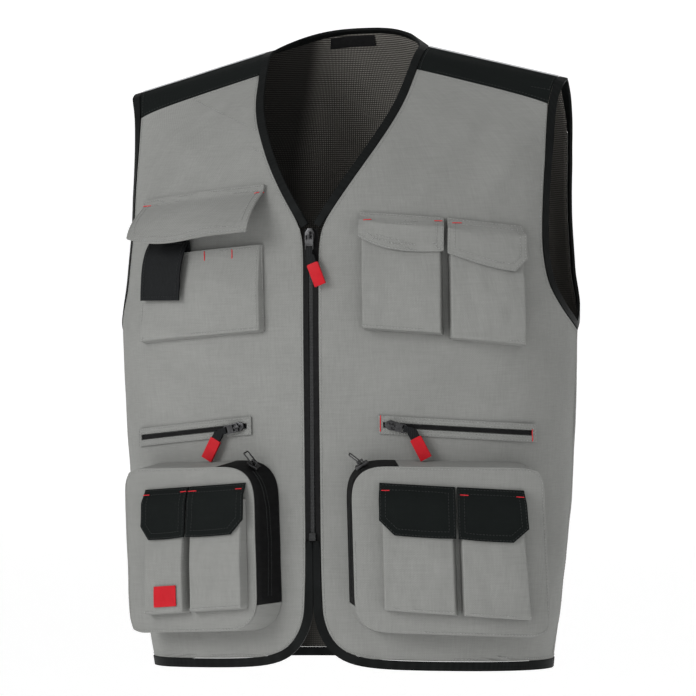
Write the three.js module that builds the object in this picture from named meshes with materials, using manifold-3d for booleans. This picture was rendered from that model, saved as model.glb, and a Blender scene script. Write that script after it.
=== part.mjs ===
// Utility work vest: two grey front panels and a back panel under black shoulder yokes, bound in black
// round every edge, with a front zip, two chest pocket groups, two zipped welts and two bellows pockets.
// Millimetres. The origin is between the two points where the shoulder seams meet the neck, +X is the
// wearer's left, -Y the front and +Z up. Every cloth piece lies on one form, the worn shape of the vest,
// at a distance s round it from its centre line, a height z and a lift off it.

import * as THREE from 'three';
import { mergeVertices } from 'three/addons/utils/BufferGeometryUtils.js';
import Module from 'manifold-3d';

const wasm = await Module();
wasm.setup();

// Sizes of the worn form
const BODY_LENGTH = 667;
const CHEST_HALF_WIDTH = 254;
const FRONT_DEPTH = 126;
const BACK_DEPTH = 119;
const SHOULDER_HALF_WIDTH = 244;
const SHOULDER_DEPTH = 122;
const SHOULDER_SETBACK = 12;
const SHOULDER_SLOPE = 0.262;
const SHOULDER_ROUND = 12;
const FRONT_FALL = 210;
const BACK_FALL = 150;
const NECK_HALF_WIDTH = 84;
const NECK_RISE = 26;
const NECK_REACH = 60;
const V_DEPTH = 194;
const ARMHOLE_FRONT = 260;
const ARMHOLE_BACK = 262;
const ARMHOLE_DEPTH = 259;
const CENTRE_DRIFT = 9;
const HEM_CORNER_WIDTH = 100;
const HEM_CORNER_HEIGHT = 67;

// Sizes of the cloth, its seams and its bindings
const CLOTH = 1.4;
const LINING = 0.9;
const LINING_GAP = 1;
const BINDING_WIDTH = 8.5;
const HEM_BINDING_WIDTH = 9.5;
const BINDING_PROUD = 1;
const BINDING_BEHIND = 0.3;
const SEAM_GAP = 0.6;
const SEAT_GAP = 0.6;
const PIPING_HALF_WIDTH = 1.8;
const PIPING_HEIGHT = 1.4;

// Sizes of the front zip
const ZIP_HALF_WIDTH = 8.3;
const ZIP_BOTTOM_ABOVE_HEM = 140;
const CHAIN_HALF_WIDTH = 2.2;
const CHAIN_HEIGHT = 1.3;
const BOX_HALF_WIDTH = 3.6;
const BOX_LENGTH = 9;

// Sizes of the neck label
const NECK_LABEL_WIDTH = 50;
const NECK_LABEL_HEIGHT = 13;
const NECK_LABEL_SHIFT = -13;
const LABEL_CLOTH = 0.8;

// Sizes of the chest pocket on the wearer's right, with its lifted flap and phone strap
const FLAP_CLOTH = 2.2;
const RIGHT_POCKET_START = 54;
const RIGHT_POCKET_WIDTH = 154;
const RIGHT_POCKET_MOUTH = 215;
const RIGHT_POCKET_HEIGHT = 92;
const RIGHT_POCKET_DEPTH = 9;
const RIGHT_POCKET_SLOPE = 0.065;
const RIGHT_FLAP_DROP = 152;
const RIGHT_FLAP_WIDTH = 165;
const RIGHT_FLAP_TAPER = 22;
const RIGHT_FLAP_SLOPE = 0.07;
const RIGHT_FLAP_HEADER = 8;
const RIGHT_FLAP_FALL = 45;
const RIGHT_FLAP_STAND = 42;
const STRAP_START = 142;
const STRAP_WIDTH = 55;
const STRAP_LEAN = 6;
const STRAP_STAND = 10;
const STRAP_HANG = 62;
const STRAP_TUCK = 34;

// Sizes of the two chest pockets on the wearer's left
const LEFT_POCKETS_START = 54;
const LEFT_POCKETS_DROP = 184;
const POCKET_SPACING = 6;
const CHEST_POCKET_DEPTH = 17;
const FIRST_POCKET_WIDTH = 84;
const FIRST_POCKET_HEIGHT = 122;
const FIRST_POCKET_SLOPE = 0.085;
const FIRST_FLAP_LENGTH = 38;
const SECOND_POCKET_WIDTH = 77;
const SECOND_POCKET_HEIGHT = 126;
const SECOND_POCKET_SLOPE = 0.115;
const SECOND_FLAP_LENGTH = 50;
const POCKET_HEADER = 8;
const POCKET_MOUTH_BELOW = 17;

// Sizes of the zipped welts
const WELT_ABOVE_CARGO = 40;
const WELT_HEIGHT = 19;
const WELT_CLOTH = 1.6;
const WELT_SLIT = 6;
const WELT_ZIP_HALF = 2.1;
const RIGHT_WELT_START = 72;
const RIGHT_WELT_WIDTH = 149;
const RIGHT_WELT_SLOPE = 0.09;
const LEFT_WELT_START = 68;
const LEFT_WELT_WIDTH = 166;
const LEFT_WELT_SLOPE = 0.07;

// Sizes of the cargo pockets, their zipped gussets and the pairs of pockets on them
const CARGO_ABOVE_HEM = 49;
const CARGO_HEIGHT = 173;
const CARGO_DEPTH = 35;
const CARGO_SLOPE = 0.03;
const CARGO_INNER_ROUND = 27;
const CARGO_OUTER_ROUND = 14;
const CARGO_ZIP_SPLAY = 13;
const CARGO_SPLAY = 4;
const RIGHT_CARGO_START = 56;
const RIGHT_CARGO_WIDTH = 149;
const LEFT_CARGO_START = 45;
const LEFT_CARGO_WIDTH = 179;
const PAIR_DROP = 17;
const PAIR_HEIGHT = 133;
const PAIR_DEPTH = 13;
const PAIR_GAP = 4;
const PAIR_FLAP_LENGTH = 53;
const RIGHT_PAIR_MARGIN = 9;
const RIGHT_PAIR_WIDTH = 114;
const RIGHT_PAIR_INNER = 60;
const LEFT_PAIR_MARGIN = 29;
const LEFT_PAIR_WIDTH = 132;
const LEFT_PAIR_INNER = 71;
const CARGO_LABEL_WIDTH = 27;
const CARGO_LABEL_HEIGHT = 22;

// Sizes of the sliders, their tabs and their tags
const SLIDER_LENGTH = 14;
const SLIDER_WIDTH = 10.5;
const SLIDER_THICK = 3;
const BRIDGE_LENGTH = 7;
const BRIDGE_WIDTH = 2.6;
const BRIDGE_HEIGHT = 4;
const BRIDGE_WIRE = 1.3;
const TAB_WIDTH = 9.2;
const TAB_LENGTH = 16;
const TAB_THICK = 1.2;
const TAB_BAR = 1.6;
const LOOP_LENGTH = 15;
const PULL_STRAP_WIDTH = 6.6;
const PULL_STRAP_LENGTH = 9;
const PULL_STRAP_CLOTH = 0.8;
const TAG_WIDTH = 12.5;
const TAG_LENGTH = 33;
const TAG_HOLDER = 9;
const TAG_THICK = 3;

// The form: width, depth and corner radius of its front and back at each height
const BODY_ROWS = [
  {
    down: 1.02, upper: 0, frontWide: 0.866, frontDeep: 0.889,
    frontCorner: 0.768, backWide: 0.866, backDeep: 0.908, backCorner: 0.796,
  },
  {
    down: 0.9, upper: 0, frontWide: 0.909, frontDeep: 0.897,
    frontCorner: 0.779, backWide: 0.909, backDeep: 0.891, backCorner: 0.83,
  },
  {
    down: 0.75, upper: 0, frontWide: 0.957, frontDeep: 0.921,
    frontCorner: 0.776, backWide: 0.957, backDeep: 0.874, backCorner: 0.865,
  },
  {
    down: 0.6, upper: 0, frontWide: 0.984, frontDeep: 0.96,
    frontCorner: 0.76, backWide: 0.984, backDeep: 0.891, backCorner: 0.868,
  },
  {
    down: 0.465, upper: 0, frontWide: 1, frontDeep: 0.992,
    frontCorner: 0.744, backWide: 1, backDeep: 0.941, backCorner: 0.821,
  },
  {
    down: 0.375, upper: 0, frontWide: 0.97, frontDeep: 1,
    frontCorner: 0.73, backWide: 0.996, backDeep: 0.975, backCorner: 0.793,
  },
  {
    down: 0.285, upper: 0, frontWide: 0.95, frontDeep: 1,
    frontCorner: 0.73, backWide: 0.984, backDeep: 1, backCorner: 0.773,
  },
  {
    down: 0.165, upper: 1, frontWide: 0.995, frontDeep: 1.008,
    frontCorner: 0.748, backWide: 1.02, backDeep: 0.992, backCorner: 0.76,
  },
  {
    down: 0.075, upper: 1, frontWide: 1.004, frontDeep: 1,
    frontCorner: 0.754, backWide: 1.004, backDeep: 1, backCorner: 0.754,
  },
  {
    down: -0.09, upper: 1, frontWide: 1.004, frontDeep: 1,
    frontCorner: 0.754, backWide: 1.004, backDeep: 1, backCorner: 0.754,
  },
];

// Soft folds of the cloth: both ends as shares of the side seam's distance and of the body length,
// then half width and height as shares of the chest's half width
const FOLDS = [
  { side: -1, fromRound: 0.8, fromDown: 0.17, toRound: 0.4, toDown: 0.27, wide: 0.075, high: 0.014 },
  { side: -1, fromRound: 0.86, fromDown: 0.4, toRound: 0.3, toDown: 0.54, wide: 0.07, high: 0.012 },
  { side: -1, fromRound: -0.9, fromDown: 0.5, toRound: -0.3, toDown: 0.56, wide: 0.07, high: 0.01 },
  { side: -1, fromRound: -0.75, fromDown: 0.14, toRound: -0.35, toDown: 0.2, wide: 0.07, high: 0.01 },
  { side: -1, fromRound: 0.97, fromDown: 0.66, toRound: 0.9, toDown: 0.98, wide: 0.06, high: 0.016 },
  { side: -1, fromRound: -0.97, fromDown: 0.62, toRound: -0.92, toDown: 0.98, wide: 0.06, high: 0.012 },
  { side: 1, fromRound: 0.85, fromDown: 0.42, toRound: 0.2, toDown: 0.6, wide: 0.09, high: 0.016 },
  { side: 1, fromRound: -0.85, fromDown: 0.45, toRound: -0.15, toDown: 0.66, wide: 0.09, high: 0.016 },
  { side: 1, fromRound: 0.25, fromDown: 0.7, toRound: 0.35, toDown: 1, wide: 0.09, high: 0.02 },
  { side: 1, fromRound: -0.4, fromDown: 0.74, toRound: -0.3, toDown: 1, wide: 0.09, high: 0.02 },
];

const FRONT = -1;
const BACK = 1;

function mix(a, b, f) {
  return a + (b - a) * f;
}

function clamp01(f) {
  return Math.min(1, Math.max(0, f));
}

function smooth(f) {
  const t = clamp01(f);
  return t * t * (3 - 2 * t);
}

// One row of the form in millimetres: half width, depth and corner radius, front then back
function rowSizes(row) {
  const wide = mix(CHEST_HALF_WIDTH, SHOULDER_HALF_WIDTH, row.upper);
  const frontDeep = row.frontDeep * mix(FRONT_DEPTH, SHOULDER_DEPTH, row.upper);
  const backDeep = row.backDeep * mix(BACK_DEPTH, SHOULDER_DEPTH, row.upper);
  return {
    z: -row.down * BODY_LENGTH,
    sizes: [
      row.frontWide * wide, frontDeep, row.frontCorner * frontDeep,
      row.backWide * wide, backDeep, row.backCorner * backDeep,
    ],
  };
}

const FORM = BODY_ROWS.map(rowSizes);

function slopeAt(k, c) {
  if (k === 0 || k === FORM.length - 1) return 0;
  return (FORM[k + 1].sizes[c] - FORM[k - 1].sizes[c]) / (FORM[k + 1].z - FORM[k - 1].z);
}

// Half width, depth and corner radius of one side of the form at a height
function section(height, side) {
  const z = Math.min(Math.max(height, FORM[0].z), FORM[FORM.length - 1].z);
  let i = 0;
  while (i < FORM.length - 2 && z > FORM[i + 1].z) i += 1;
  const h = FORM[i + 1].z - FORM[i].z;
  const t = (z - FORM[i].z) / h;
  const first = side === FRONT ? 0 : 3;
  return [first, first + 1, first + 2].map((c) =>
    (2 * t ** 3 - 3 * t * t + 1) * FORM[i].sizes[c] + (t ** 3 - 2 * t * t + t) * h * slopeAt(i, c) +
    (3 * t * t - 2 * t ** 3) * FORM[i + 1].sizes[c] + (t ** 3 - t * t) * h * slopeAt(i + 1, c));
}

// A quarter of the section is a wide arc across and a tight arc round the side
function arcs(height, side) {
  const [wide, deep, corner] = section(height, side);
  const across = ((wide - corner) ** 2 + deep * deep - corner * corner) / (2 * (deep - corner));
  const turn = Math.atan2(wide - corner, across - deep);
  return { wide, deep, corner, across, turn, flat: across * turn };
}

function roundForm(s, height, side) {
  const a = arcs(height, side);
  const far = Math.abs(s);
  const wide = far <= a.flat;
  const angle = wide ? far / a.across : a.turn + (far - a.flat) / a.corner;
  const x = wide ? a.across * Math.sin(angle) : a.wide - a.corner + a.corner * Math.sin(angle);
  const y = wide ? a.across * Math.cos(angle) - (a.across - a.deep) : a.corner * Math.cos(angle);
  return [Math.sign(s) * x, side * y];
}

// Distance round the form from the centre line to the side seam
function seamAt(height, side) {
  const a = arcs(height, side);
  return a.flat + a.corner * (Math.PI / 2 - a.turn);
}

// Distance round the top of the form at which it is a given distance from the centre plane
function roundAtX(x) {
  const a = arcs(0, FRONT);
  const flatX = a.across * Math.sin(a.turn);
  if (x <= flatX) return a.across * Math.asin(x / a.across);
  const angle = Math.asin(Math.min(1, (x - a.wide + a.corner) / a.corner));
  return a.flat + (angle - a.turn) * a.corner;
}

const NECK_ROUND = roundAtX(NECK_HALF_WIDTH);

// The line that the cloth falls from: the shoulder ridge, and behind the neck its back edge
function topLine(s, side) {
  const x = Math.abs(roundForm(s, 0, FRONT)[0]);
  const far = Math.abs(s) / NECK_ROUND;
  if (side === FRONT || far >= 1) {
    return { y: SHOULDER_SETBACK, z: SHOULDER_SLOPE * (NECK_HALF_WIDTH - x) };
  }
  const rise = 1 - far ** 3;
  return { y: SHOULDER_SETBACK + NECK_REACH * rise, z: NECK_RISE * rise };
}

const ROUND_ARC = SHOULDER_ROUND * Math.PI / 2;

// How far below the top line a point is that lies q down the cloth from it, and the other way round
function dropOf(q) {
  return q < ROUND_ARC ? SHOULDER_ROUND * (1 - Math.cos(q / SHOULDER_ROUND)) : SHOULDER_ROUND + q - ROUND_ARC;
}

function downFromTop(s, z, side) {
  const drop = topLine(s, side).z - z;
  if (drop <= 0) return 0;
  return drop < SHOULDER_ROUND ?
    SHOULDER_ROUND * Math.acos(1 - drop / SHOULDER_ROUND) : ROUND_ARC + drop - SHOULDER_ROUND;
}

function onForm(s, q, side) {
  const top = topLine(s, side);
  const drop = dropOf(q);
  const fall = side === FRONT ? FRONT_FALL : BACK_FALL;
  const bend = q < ROUND_ARC ? Math.sin(q / SHOULDER_ROUND) : 1;
  const reach = drop < fall ? Math.sin(Math.PI / 2 * drop / fall) : 1;
  const [x, y] = roundForm(s, top.z - drop, side);
  return new THREE.Vector3(x, mix(top.y + side * SHOULDER_ROUND * bend, y, reach), top.z - drop);
}

const PROBE = 0.5;

function alongRound(s, q, side) {
  return onForm(s + PROBE, q, side).sub(onForm(s - PROBE, q, side)).divideScalar(2 * PROBE);
}

function alongDown(s, q, side) {
  const up = Math.max(0, q - PROBE);
  return onForm(s, q + PROBE, side).sub(onForm(s, up, side)).divideScalar(q + PROBE - up);
}

function outward(s, q, side) {
  return alongRound(s, q, side).cross(alongDown(s, q, side)).multiplyScalar(side).normalize();
}

function foldLift(s, z, side) {
  let lift = 0;
  for (const fold of FOLDS) {
    if (fold.side !== side) continue;
    const seam = seamAt(z, side);
    const ax = fold.fromRound * seam;
    const az = -fold.fromDown * BODY_LENGTH;
    const bx = fold.toRound * seam - ax;
    const bz = -fold.toDown * BODY_LENGTH - az;
    const t = ((s - ax) * bx + (z - az) * bz) / (bx * bx + bz * bz);
    const near = clamp01(t);
    const away = Math.hypot(s - ax - near * bx, z - az - near * bz) / (fold.wide * CHEST_HALF_WIDTH);
    lift += fold.high * CHEST_HALF_WIDTH * Math.exp(-away * away) * (0.35 + 0.65 * Math.sin(Math.PI * near));
  }
  return lift;
}

// A place on the form is { s, q, side }; a point is that place lifted off the form
function heightOf(place) {
  return topLine(place.s, place.side).z - dropOf(place.q);
}

function at(s, z, side) {
  return { s, q: downFromTop(s, z, side), side };
}

function point(place, lift) {
  const fold = foldLift(place.s, heightOf(place), place.side) * smooth(place.q / (5 * SHOULDER_ROUND));
  const away = outward(place.s, place.q, place.side).multiplyScalar(lift + fold);
  return onForm(place.s, place.q, place.side).add(away);
}

function between(a, b, f) {
  return at(mix(a.s, b.s, f), mix(heightOf(a), heightOf(b), f), a.side);
}

function betweenDown(a, b, f) {
  return { s: mix(a.s, b.s, f), q: mix(a.q, b.q, f), side: a.side };
}

// Walks across the cloth, square to an edge that runs along a given direction
function inset(place, along, distance, hint) {
  const steps = 8;
  let { s, q } = place;
  for (let i = 0; i < steps; i += 1) {
    const round = alongRound(s, q, place.side);
    const down = alongDown(s, q, place.side);
    let a = down.dot(along);
    let b = -round.dot(along);
    if (a * hint.s + b * hint.q < 0) {
      a = -a;
      b = -b;
    }
    const step = distance / steps / round.multiplyScalar(a).addScaledVector(down, b).length();
    s += a * step;
    q = Math.max(0, q + b * step);
  }
  return { s, q, side: place.side };
}

// Mesh helpers: each makes one closed body, and turns it so that its faces point out
function closedBody(vertices, faces) {
  const a = new THREE.Vector3();
  const volume = faces.reduce((sum, [i, j, k]) =>
    sum + a.crossVectors(vertices[i], vertices[j]).dot(vertices[k]), 0);
  const turned = volume < 0 ? faces.map(([i, j, k]) => [i, k, j]) : faces;
  const geometry = new THREE.BufferGeometry().setFromPoints(vertices);
  geometry.setIndex(turned.flat());
  return geometry;
}

// A sheet with thickness, from two grids of points
function sheet(outer, inner) {
  const rows = outer.length;
  const columns = outer[0].length;
  const vertices = [...outer.flat(), ...inner.flat()];
  const half = rows * columns;
  const faces = [];
  const quad = (i, j, k, l) => faces.push([i, j, k], [i, k, l]);
  for (let r = 0; r < rows - 1; r += 1) {
    for (let c = 0; c < columns - 1; c += 1) {
      const i = r * columns + c;
      quad(i, i + 1, i + columns + 1, i + columns);
      quad(half + i, half + i + columns, half + i + columns + 1, half + i + 1);
    }
  }
  const rim = [];
  for (let c = 0; c < columns - 1; c += 1) rim.push(c);
  for (let r = 0; r < rows - 1; r += 1) rim.push(r * columns + columns - 1);
  for (let c = columns - 1; c > 0; c -= 1) rim.push((rows - 1) * columns + c);
  for (let r = rows - 1; r > 0; r -= 1) rim.push(r * columns);
  rim.forEach((i, k) => {
    const j = rim[(k + 1) % rim.length];
    quad(j, i, half + i, half + j);
  });
  return closedBody(vertices, faces);
}

// A body through a row of like sections, joined end to start or capped
function loft(sections, ring) {
  const count = sections[0].length;
  const faces = [];
  const last = ring ? sections.length : sections.length - 1;
  for (let k = 0; k < last; k += 1) {
    const a = k * count;
    const b = ((k + 1) % sections.length) * count;
    for (let i = 0; i < count; i += 1) {
      const j = (i + 1) % count;
      faces.push([a + i, a + j, b + j], [a + i, b + j, b + i]);
    }
  }
  if (!ring) {
    const end = (sections.length - 1) * count;
    for (let i = 1; i < count - 1; i += 1) faces.push([0, i + 1, i], [end, end + i, end + i + 1]);
  }
  return closedBody(sections.flat(), faces);
}

function toSolid(geometry) {
  const bare = geometry.clone();
  bare.deleteAttribute('normal');
  bare.deleteAttribute('uv');
  const merged = mergeVertices(bare, 1e-4);
  return new wasm.Manifold(new wasm.Mesh({
    numProp: 3,
    vertProperties: merged.attributes.position.array,
    triVerts: new Uint32Array(merged.index.array),
  }));
}

function fromSolid(solid) {
  const mesh = solid.getMesh();
  const geometry = new THREE.BufferGeometry();
  geometry.setAttribute('position', new THREE.BufferAttribute(new Float32Array(mesh.vertProperties), 3));
  geometry.setIndex(new THREE.BufferAttribute(new Uint32Array(mesh.triVerts), 1));
  return geometry;
}

function joined(...geometries) {
  return fromSolid(geometries.map(toSolid).reduce((a, b) => a.add(b)));
}

// The group and the finishes
const vest = new THREE.Group();
vest.name = 'utility_work_vest';

const FINISHES = {
  grey: { color: 0x8a8a88, roughness: 0.9, metalness: 0 },
  black: { color: 0x141618, roughness: 0.85, metalness: 0 },
  mesh: { color: 0x3a3733, roughness: 0.95, metalness: 0 },
  piping: { color: 0xb9babb, roughness: 0.5, metalness: 0 },
  red: { color: 0xd0202a, roughness: 0.5, metalness: 0 },
  metal: { color: 0x3c3d40, roughness: 0.35, metalness: 0.9 },
};

function add(name, geometry, finish, parent = vest) {
  geometry.computeVertexNormals();
  const mesh = new THREE.Mesh(geometry, new THREE.MeshStandardMaterial(FINISHES[finish]));
  mesh.name = name;
  parent.add(mesh);
  return mesh;
}

function sideName(sign) {
  return sign < 0 ? 'right' : 'left';
}

// The front edge leans to the wearer's right from the foot of the V to the hem
function drift(z) {
  return -CENTRE_DRIFT * clamp01((-z - V_DEPTH) / (BODY_LENGTH - V_DEPTH));
}

// Lines through the rows of a table, with as many cells between two rows as the first one says
function lineThrough(rows, toPlace) {
  const curve = new THREE.SplineCurve(rows.map((row) => new THREE.Vector2(row.x, row.y)));
  const places = [];
  rows.forEach((row, i) => {
    if (i === rows.length - 1) return;
    for (let k = 0; k < row.cells; k += 1) {
      const p = curve.getPoint((i + k / row.cells) / (rows.length - 1));
      places.push(toPlace(p.x, p.y));
    }
  });
  const end = rows[rows.length - 1];
  places.push(toPlace(end.x, end.y));
  return places;
}

// An edge with its binding: for each place, the edge itself, the binding's far side and the panel's cut
function boundEdge(places, width, hint, ring = false) {
  const points = places.map((place) => onForm(place.s, place.q, place.side));
  return places.map((place, i) => {
    const before = points[i > 0 ? i - 1 : (ring ? points.length - 1 : 0)];
    const after = points[i < points.length - 1 ? i + 1 : (ring ? 0 : i)];
    const along = after.clone().sub(before).normalize();
    return {
      edge: place,
      seam: inset(place, along, width, hint),
      cut: inset(place, along, width + SEAM_GAP, hint),
    };
  });
}

function bindingSection(stop) {
  return [
    point(stop.edge, BINDING_PROUD), point(stop.seam, BINDING_PROUD),
    point(stop.seam, -CLOTH - BINDING_BEHIND), point(stop.edge, -CLOTH - BINDING_BEHIND),
  ];
}

// Neck: the front edge of each side, from the shoulder ridge down the V
const NECK_TABLE = [
  { down: 0, out: 1, cells: 3 },
  { down: 0.14, out: 0.95, cells: 1 },
  { down: 0.27, out: 0.91, cells: 2 },
  { down: 0.45, out: 0.78, cells: 2 },
  { down: 0.7, out: 0.475, cells: 2 },
  { down: 1, out: 0.035, cells: 1 },
];
const YOKE_ROWS = NECK_TABLE[0].cells;

function neckSide(sign) {
  const rows = NECK_TABLE.map((row) => ({ x: row.out, y: row.down, cells: row.cells }));
  const places = lineThrough(rows, (out, down) => {
    const z = -down * V_DEPTH;
    return at(sign * out * NECK_ROUND + drift(z), z, FRONT);
  });
  places[0].q = 0;
  const stops = boundEdge(places, BINDING_WIDTH, { s: sign, q: 1 });
  const ridge = (far) => ({ s: sign * roundAtX(NECK_HALF_WIDTH + far), q: 0, side: FRONT });
  stops[0].seam = ridge(BINDING_WIDTH);
  stops[0].cut = ridge(BINDING_WIDTH + SEAM_GAP);
  return stops;
}

// Back of the neck, from the wearer's right to the left, without the two ends on the ridge
const NECK_BACK_STOPS = 8;

function neckBack() {
  const places = [];
  for (let i = 1; i < NECK_BACK_STOPS; i += 1) {
    places.push({ s: mix(-NECK_ROUND, NECK_ROUND, i / NECK_BACK_STOPS), q: 0, side: BACK });
  }
  return boundEdge(places, BINDING_WIDTH, { s: 0, q: 1 });
}

// Armhole: the edge in front and behind, as shares of the armhole's depth and of the way to the side seam
const ARMHOLE_FRONT_TABLE = [
  { down: 0.116, toSeam: 0.08, cells: 2 },
  { down: 0.38, toSeam: 0, cells: 1 },
  { down: 0.55, toSeam: -0.03, cells: 1 },
  { down: 0.69, toSeam: -0.03, cells: 2 },
  { down: 0.83, toSeam: 0.06, cells: 2 },
  { down: 0.925, toSeam: 0.42, cells: 3 },
  { down: 1, toSeam: 1, cells: 1 },
];
const ARMHOLE_BACK_TABLE = [
  { down: 0.22, toSeam: 0.45, cells: 2 },
  { down: 0.42, toSeam: 0.05, cells: 1 },
  { down: 0.57, toSeam: -0.02, cells: 2 },
  { down: 0.75, toSeam: 0.03, cells: 2 },
  { down: 0.87, toSeam: 0.2, cells: 2 },
  { down: 0.95, toSeam: 0.55, cells: 2 },
  { down: 1, toSeam: 1, cells: 1 },
];
const SHOULDER_TIP_Z = SHOULDER_SLOPE * (NECK_HALF_WIDTH - SHOULDER_HALF_WIDTH);
const ARMPIT_Z = SHOULDER_TIP_Z - ARMHOLE_DEPTH;

function armholeSide(sign, side, table) {
  const tip = roundAtX(SHOULDER_HALF_WIDTH);
  const start = side === FRONT ? ARMHOLE_FRONT : ARMHOLE_BACK;
  const reach = seamAt(ARMPIT_Z, side) - start;
  const rows = [{ x: (tip - start) / reach, y: 0, cells: YOKE_ROWS }];
  table.forEach((row) => rows.push({ x: row.toSeam, y: row.down, cells: row.cells }));
  const places = lineThrough(rows, (toSeam, down) =>
    at(sign * (start + toSeam * reach), SHOULDER_TIP_Z - down * ARMHOLE_DEPTH, side));
  places[0].q = 0;
  return places;
}

function armhole(sign) {
  const front = armholeSide(sign, FRONT, ARMHOLE_FRONT_TABLE);
  const back = armholeSide(sign, BACK, ARMHOLE_BACK_TABLE);
  const places = [...front, ...back.slice(1, -1).reverse()];
  const stops = boundEdge(places, BINDING_WIDTH, { s: -sign, q: 1 }, true);
  const ridge = (far) => ({ s: sign * roundAtX(SHOULDER_HALF_WIDTH - far), q: 0, side: FRONT });
  stops[0].seam = ridge(BINDING_WIDTH);
  stops[0].cut = ridge(BINDING_WIDTH + SEAM_GAP);
  const armpit = front.length - 1;
  const backStops = [...stops.slice(armpit + 1)].reverse();
  return { stops, front: stops.slice(0, armpit + 1), back: backStops };
}

// Hem: the round corner of each front, from the zip's end to the bottom edge
const CORNER_TABLE = [
  { along: 0.004, up: 1, cells: 1 },
  { along: 0.012, up: 0.9, cells: 1 },
  { along: 0.045, up: 0.7, cells: 1 },
  { along: 0.13, up: 0.44, cells: 1 },
  { along: 0.31, up: 0.2, cells: 1 },
  { along: 0.6, up: 0.1, cells: 1 },
  { along: 1, up: 0.07, cells: 1 },
];
const HEM_Z = -BODY_LENGTH;
const CORNER_TOP_Z = HEM_Z + HEM_CORNER_HEIGHT;
const FRONT_COLUMNS = 10;

// Columns lie closer together towards the side, where the form turns more
function ease(f) {
  return 1.45 * f - 0.45 * f * f;
}

function hemFront(sign) {
  const rows = CORNER_TABLE.map((row) => ({ x: row.along, y: row.up, cells: row.cells }));
  const corner = lineThrough(rows, (along, up) => {
    const z = HEM_Z + up * HEM_CORNER_HEIGHT;
    return at(sign * along * HEM_CORNER_WIDTH + drift(z), z, FRONT);
  });
  const from = corner[corner.length - 1];
  const seam = seamAt(HEM_Z, FRONT) - SEAM_GAP / 2;
  const places = [...corner];
  for (let j = 1; j <= FRONT_COLUMNS; j += 1) {
    places.push(between(from, at(sign * seam, HEM_Z, FRONT), ease(j / FRONT_COLUMNS)));
  }
  const stops = boundEdge(places, HEM_BINDING_WIDTH, { s: sign, q: -1 });
  return { stops, corner: stops.slice(0, corner.length), bottom: stops.slice(corner.length - 1) };
}

// Front panels and yokes, one side at a time
const neck = { right: neckSide(-1), left: neckSide(1), back: neckBack() };
const armholes = { right: armhole(-1), left: armhole(1) };
const hems = { right: hemFront(-1), left: hemFront(1) };

const ZIP_ROWS = 4;
const BODY_PANEL_ROWS = 6;

function clothSheet(grid) {
  return sheet(grid.map((row) => row.map((place) => point(place, 0))),
    grid.map((row) => row.map((place) => point(place, -CLOTH))));
}

function rowBetween(from, to, columns, spread, blend) {
  const row = [];
  for (let j = 0; j <= columns; j += 1) row.push(blend(from, to, spread(j / columns)));
  return row;
}

function frontPanel(sign) {
  const name = sideName(sign);
  const edge = (z) => at(sign * (ZIP_HALF_WIDTH + SEAM_GAP / 2) + drift(z), z, FRONT);
  const seam = (z) => at(sign * (seamAt(z, FRONT) - SEAM_GAP / 2), z, FRONT);
  const vStops = neck[name].slice(YOKE_ROWS).map((stop) => stop.cut);
  const armStops = armholes[name].front.slice(YOKE_ROWS).map((stop) => stop.cut);
  const inner = vStops.slice();
  const vFoot = heightOf(vStops[vStops.length - 1]);
  for (let i = 1; i <= ZIP_ROWS; i += 1) inner.push(edge(mix(vFoot, ARMPIT_Z, i / ZIP_ROWS)));
  const outer = armStops.slice();
  const pit = outer[outer.length - 1];
  pit.s = sign * (seamAt(heightOf(pit), FRONT) - SEAM_GAP / 2);
  const corner = hems[name].corner.map((stop) => stop.cut);
  const cornerTop = heightOf(corner[0]);
  for (let i = 1; i <= BODY_PANEL_ROWS; i += 1) {
    const f = i / BODY_PANEL_ROWS;
    inner.push(i < BODY_PANEL_ROWS ? edge(mix(ARMPIT_Z, cornerTop, f)) : corner[0]);
    outer.push(seam(mix(heightOf(pit), cornerTop, f)));
  }
  const hemCut = heightOf(hems[name].stops[hems[name].stops.length - 1].cut);
  for (let i = 1; i < corner.length; i += 1) {
    inner.push(corner[i]);
    outer.push(seam(mix(cornerTop, hemCut, i / (corner.length - 1))));
  }
  const grid = inner.map((place, i) => rowBetween(place, outer[i], FRONT_COLUMNS, ease, between));
  grid[grid.length - 1] = hems[name].bottom.map((stop) => stop.cut);
  return grid;
}

function yoke(sign, panelTop) {
  const name = sideName(sign);
  const bottom = panelTop.map((place) => ({ s: place.s, q: place.q - SEAM_GAP, side: FRONT }));
  const ridgeGap = PIPING_HALF_WIDTH + SEAM_GAP;
  const grid = [];
  for (let i = 0; i <= YOKE_ROWS; i += 1) {
    const inner = { ...neck[name][i].cut };
    const outer = { ...armholes[name].front[i].cut };
    if (i === 0) {
      inner.q = ridgeGap;
      outer.q = ridgeGap;
    }
    grid.push(i < YOKE_ROWS ? rowBetween(inner, outer, FRONT_COLUMNS, ease, betweenDown) : bottom);
  }
  return grid;
}

for (const sign of [-1, 1]) {
  const panel = frontPanel(sign);
  add('front_panel_' + sideName(sign), clothSheet(panel), 'grey');
  add('yoke_' + sideName(sign), clothSheet(yoke(sign, panel[0])), 'black');
}

// Back yoke, back panel and the mesh lining behind them, in the same columns
const RIDGE_STOPS = 4;
const BACK_PANEL_ROWS = 6;

function bothWays(f) {
  const g = 2 * f - 1;
  return 0.5 + 0.5 * Math.sign(g) * ease(Math.abs(g));
}

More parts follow.
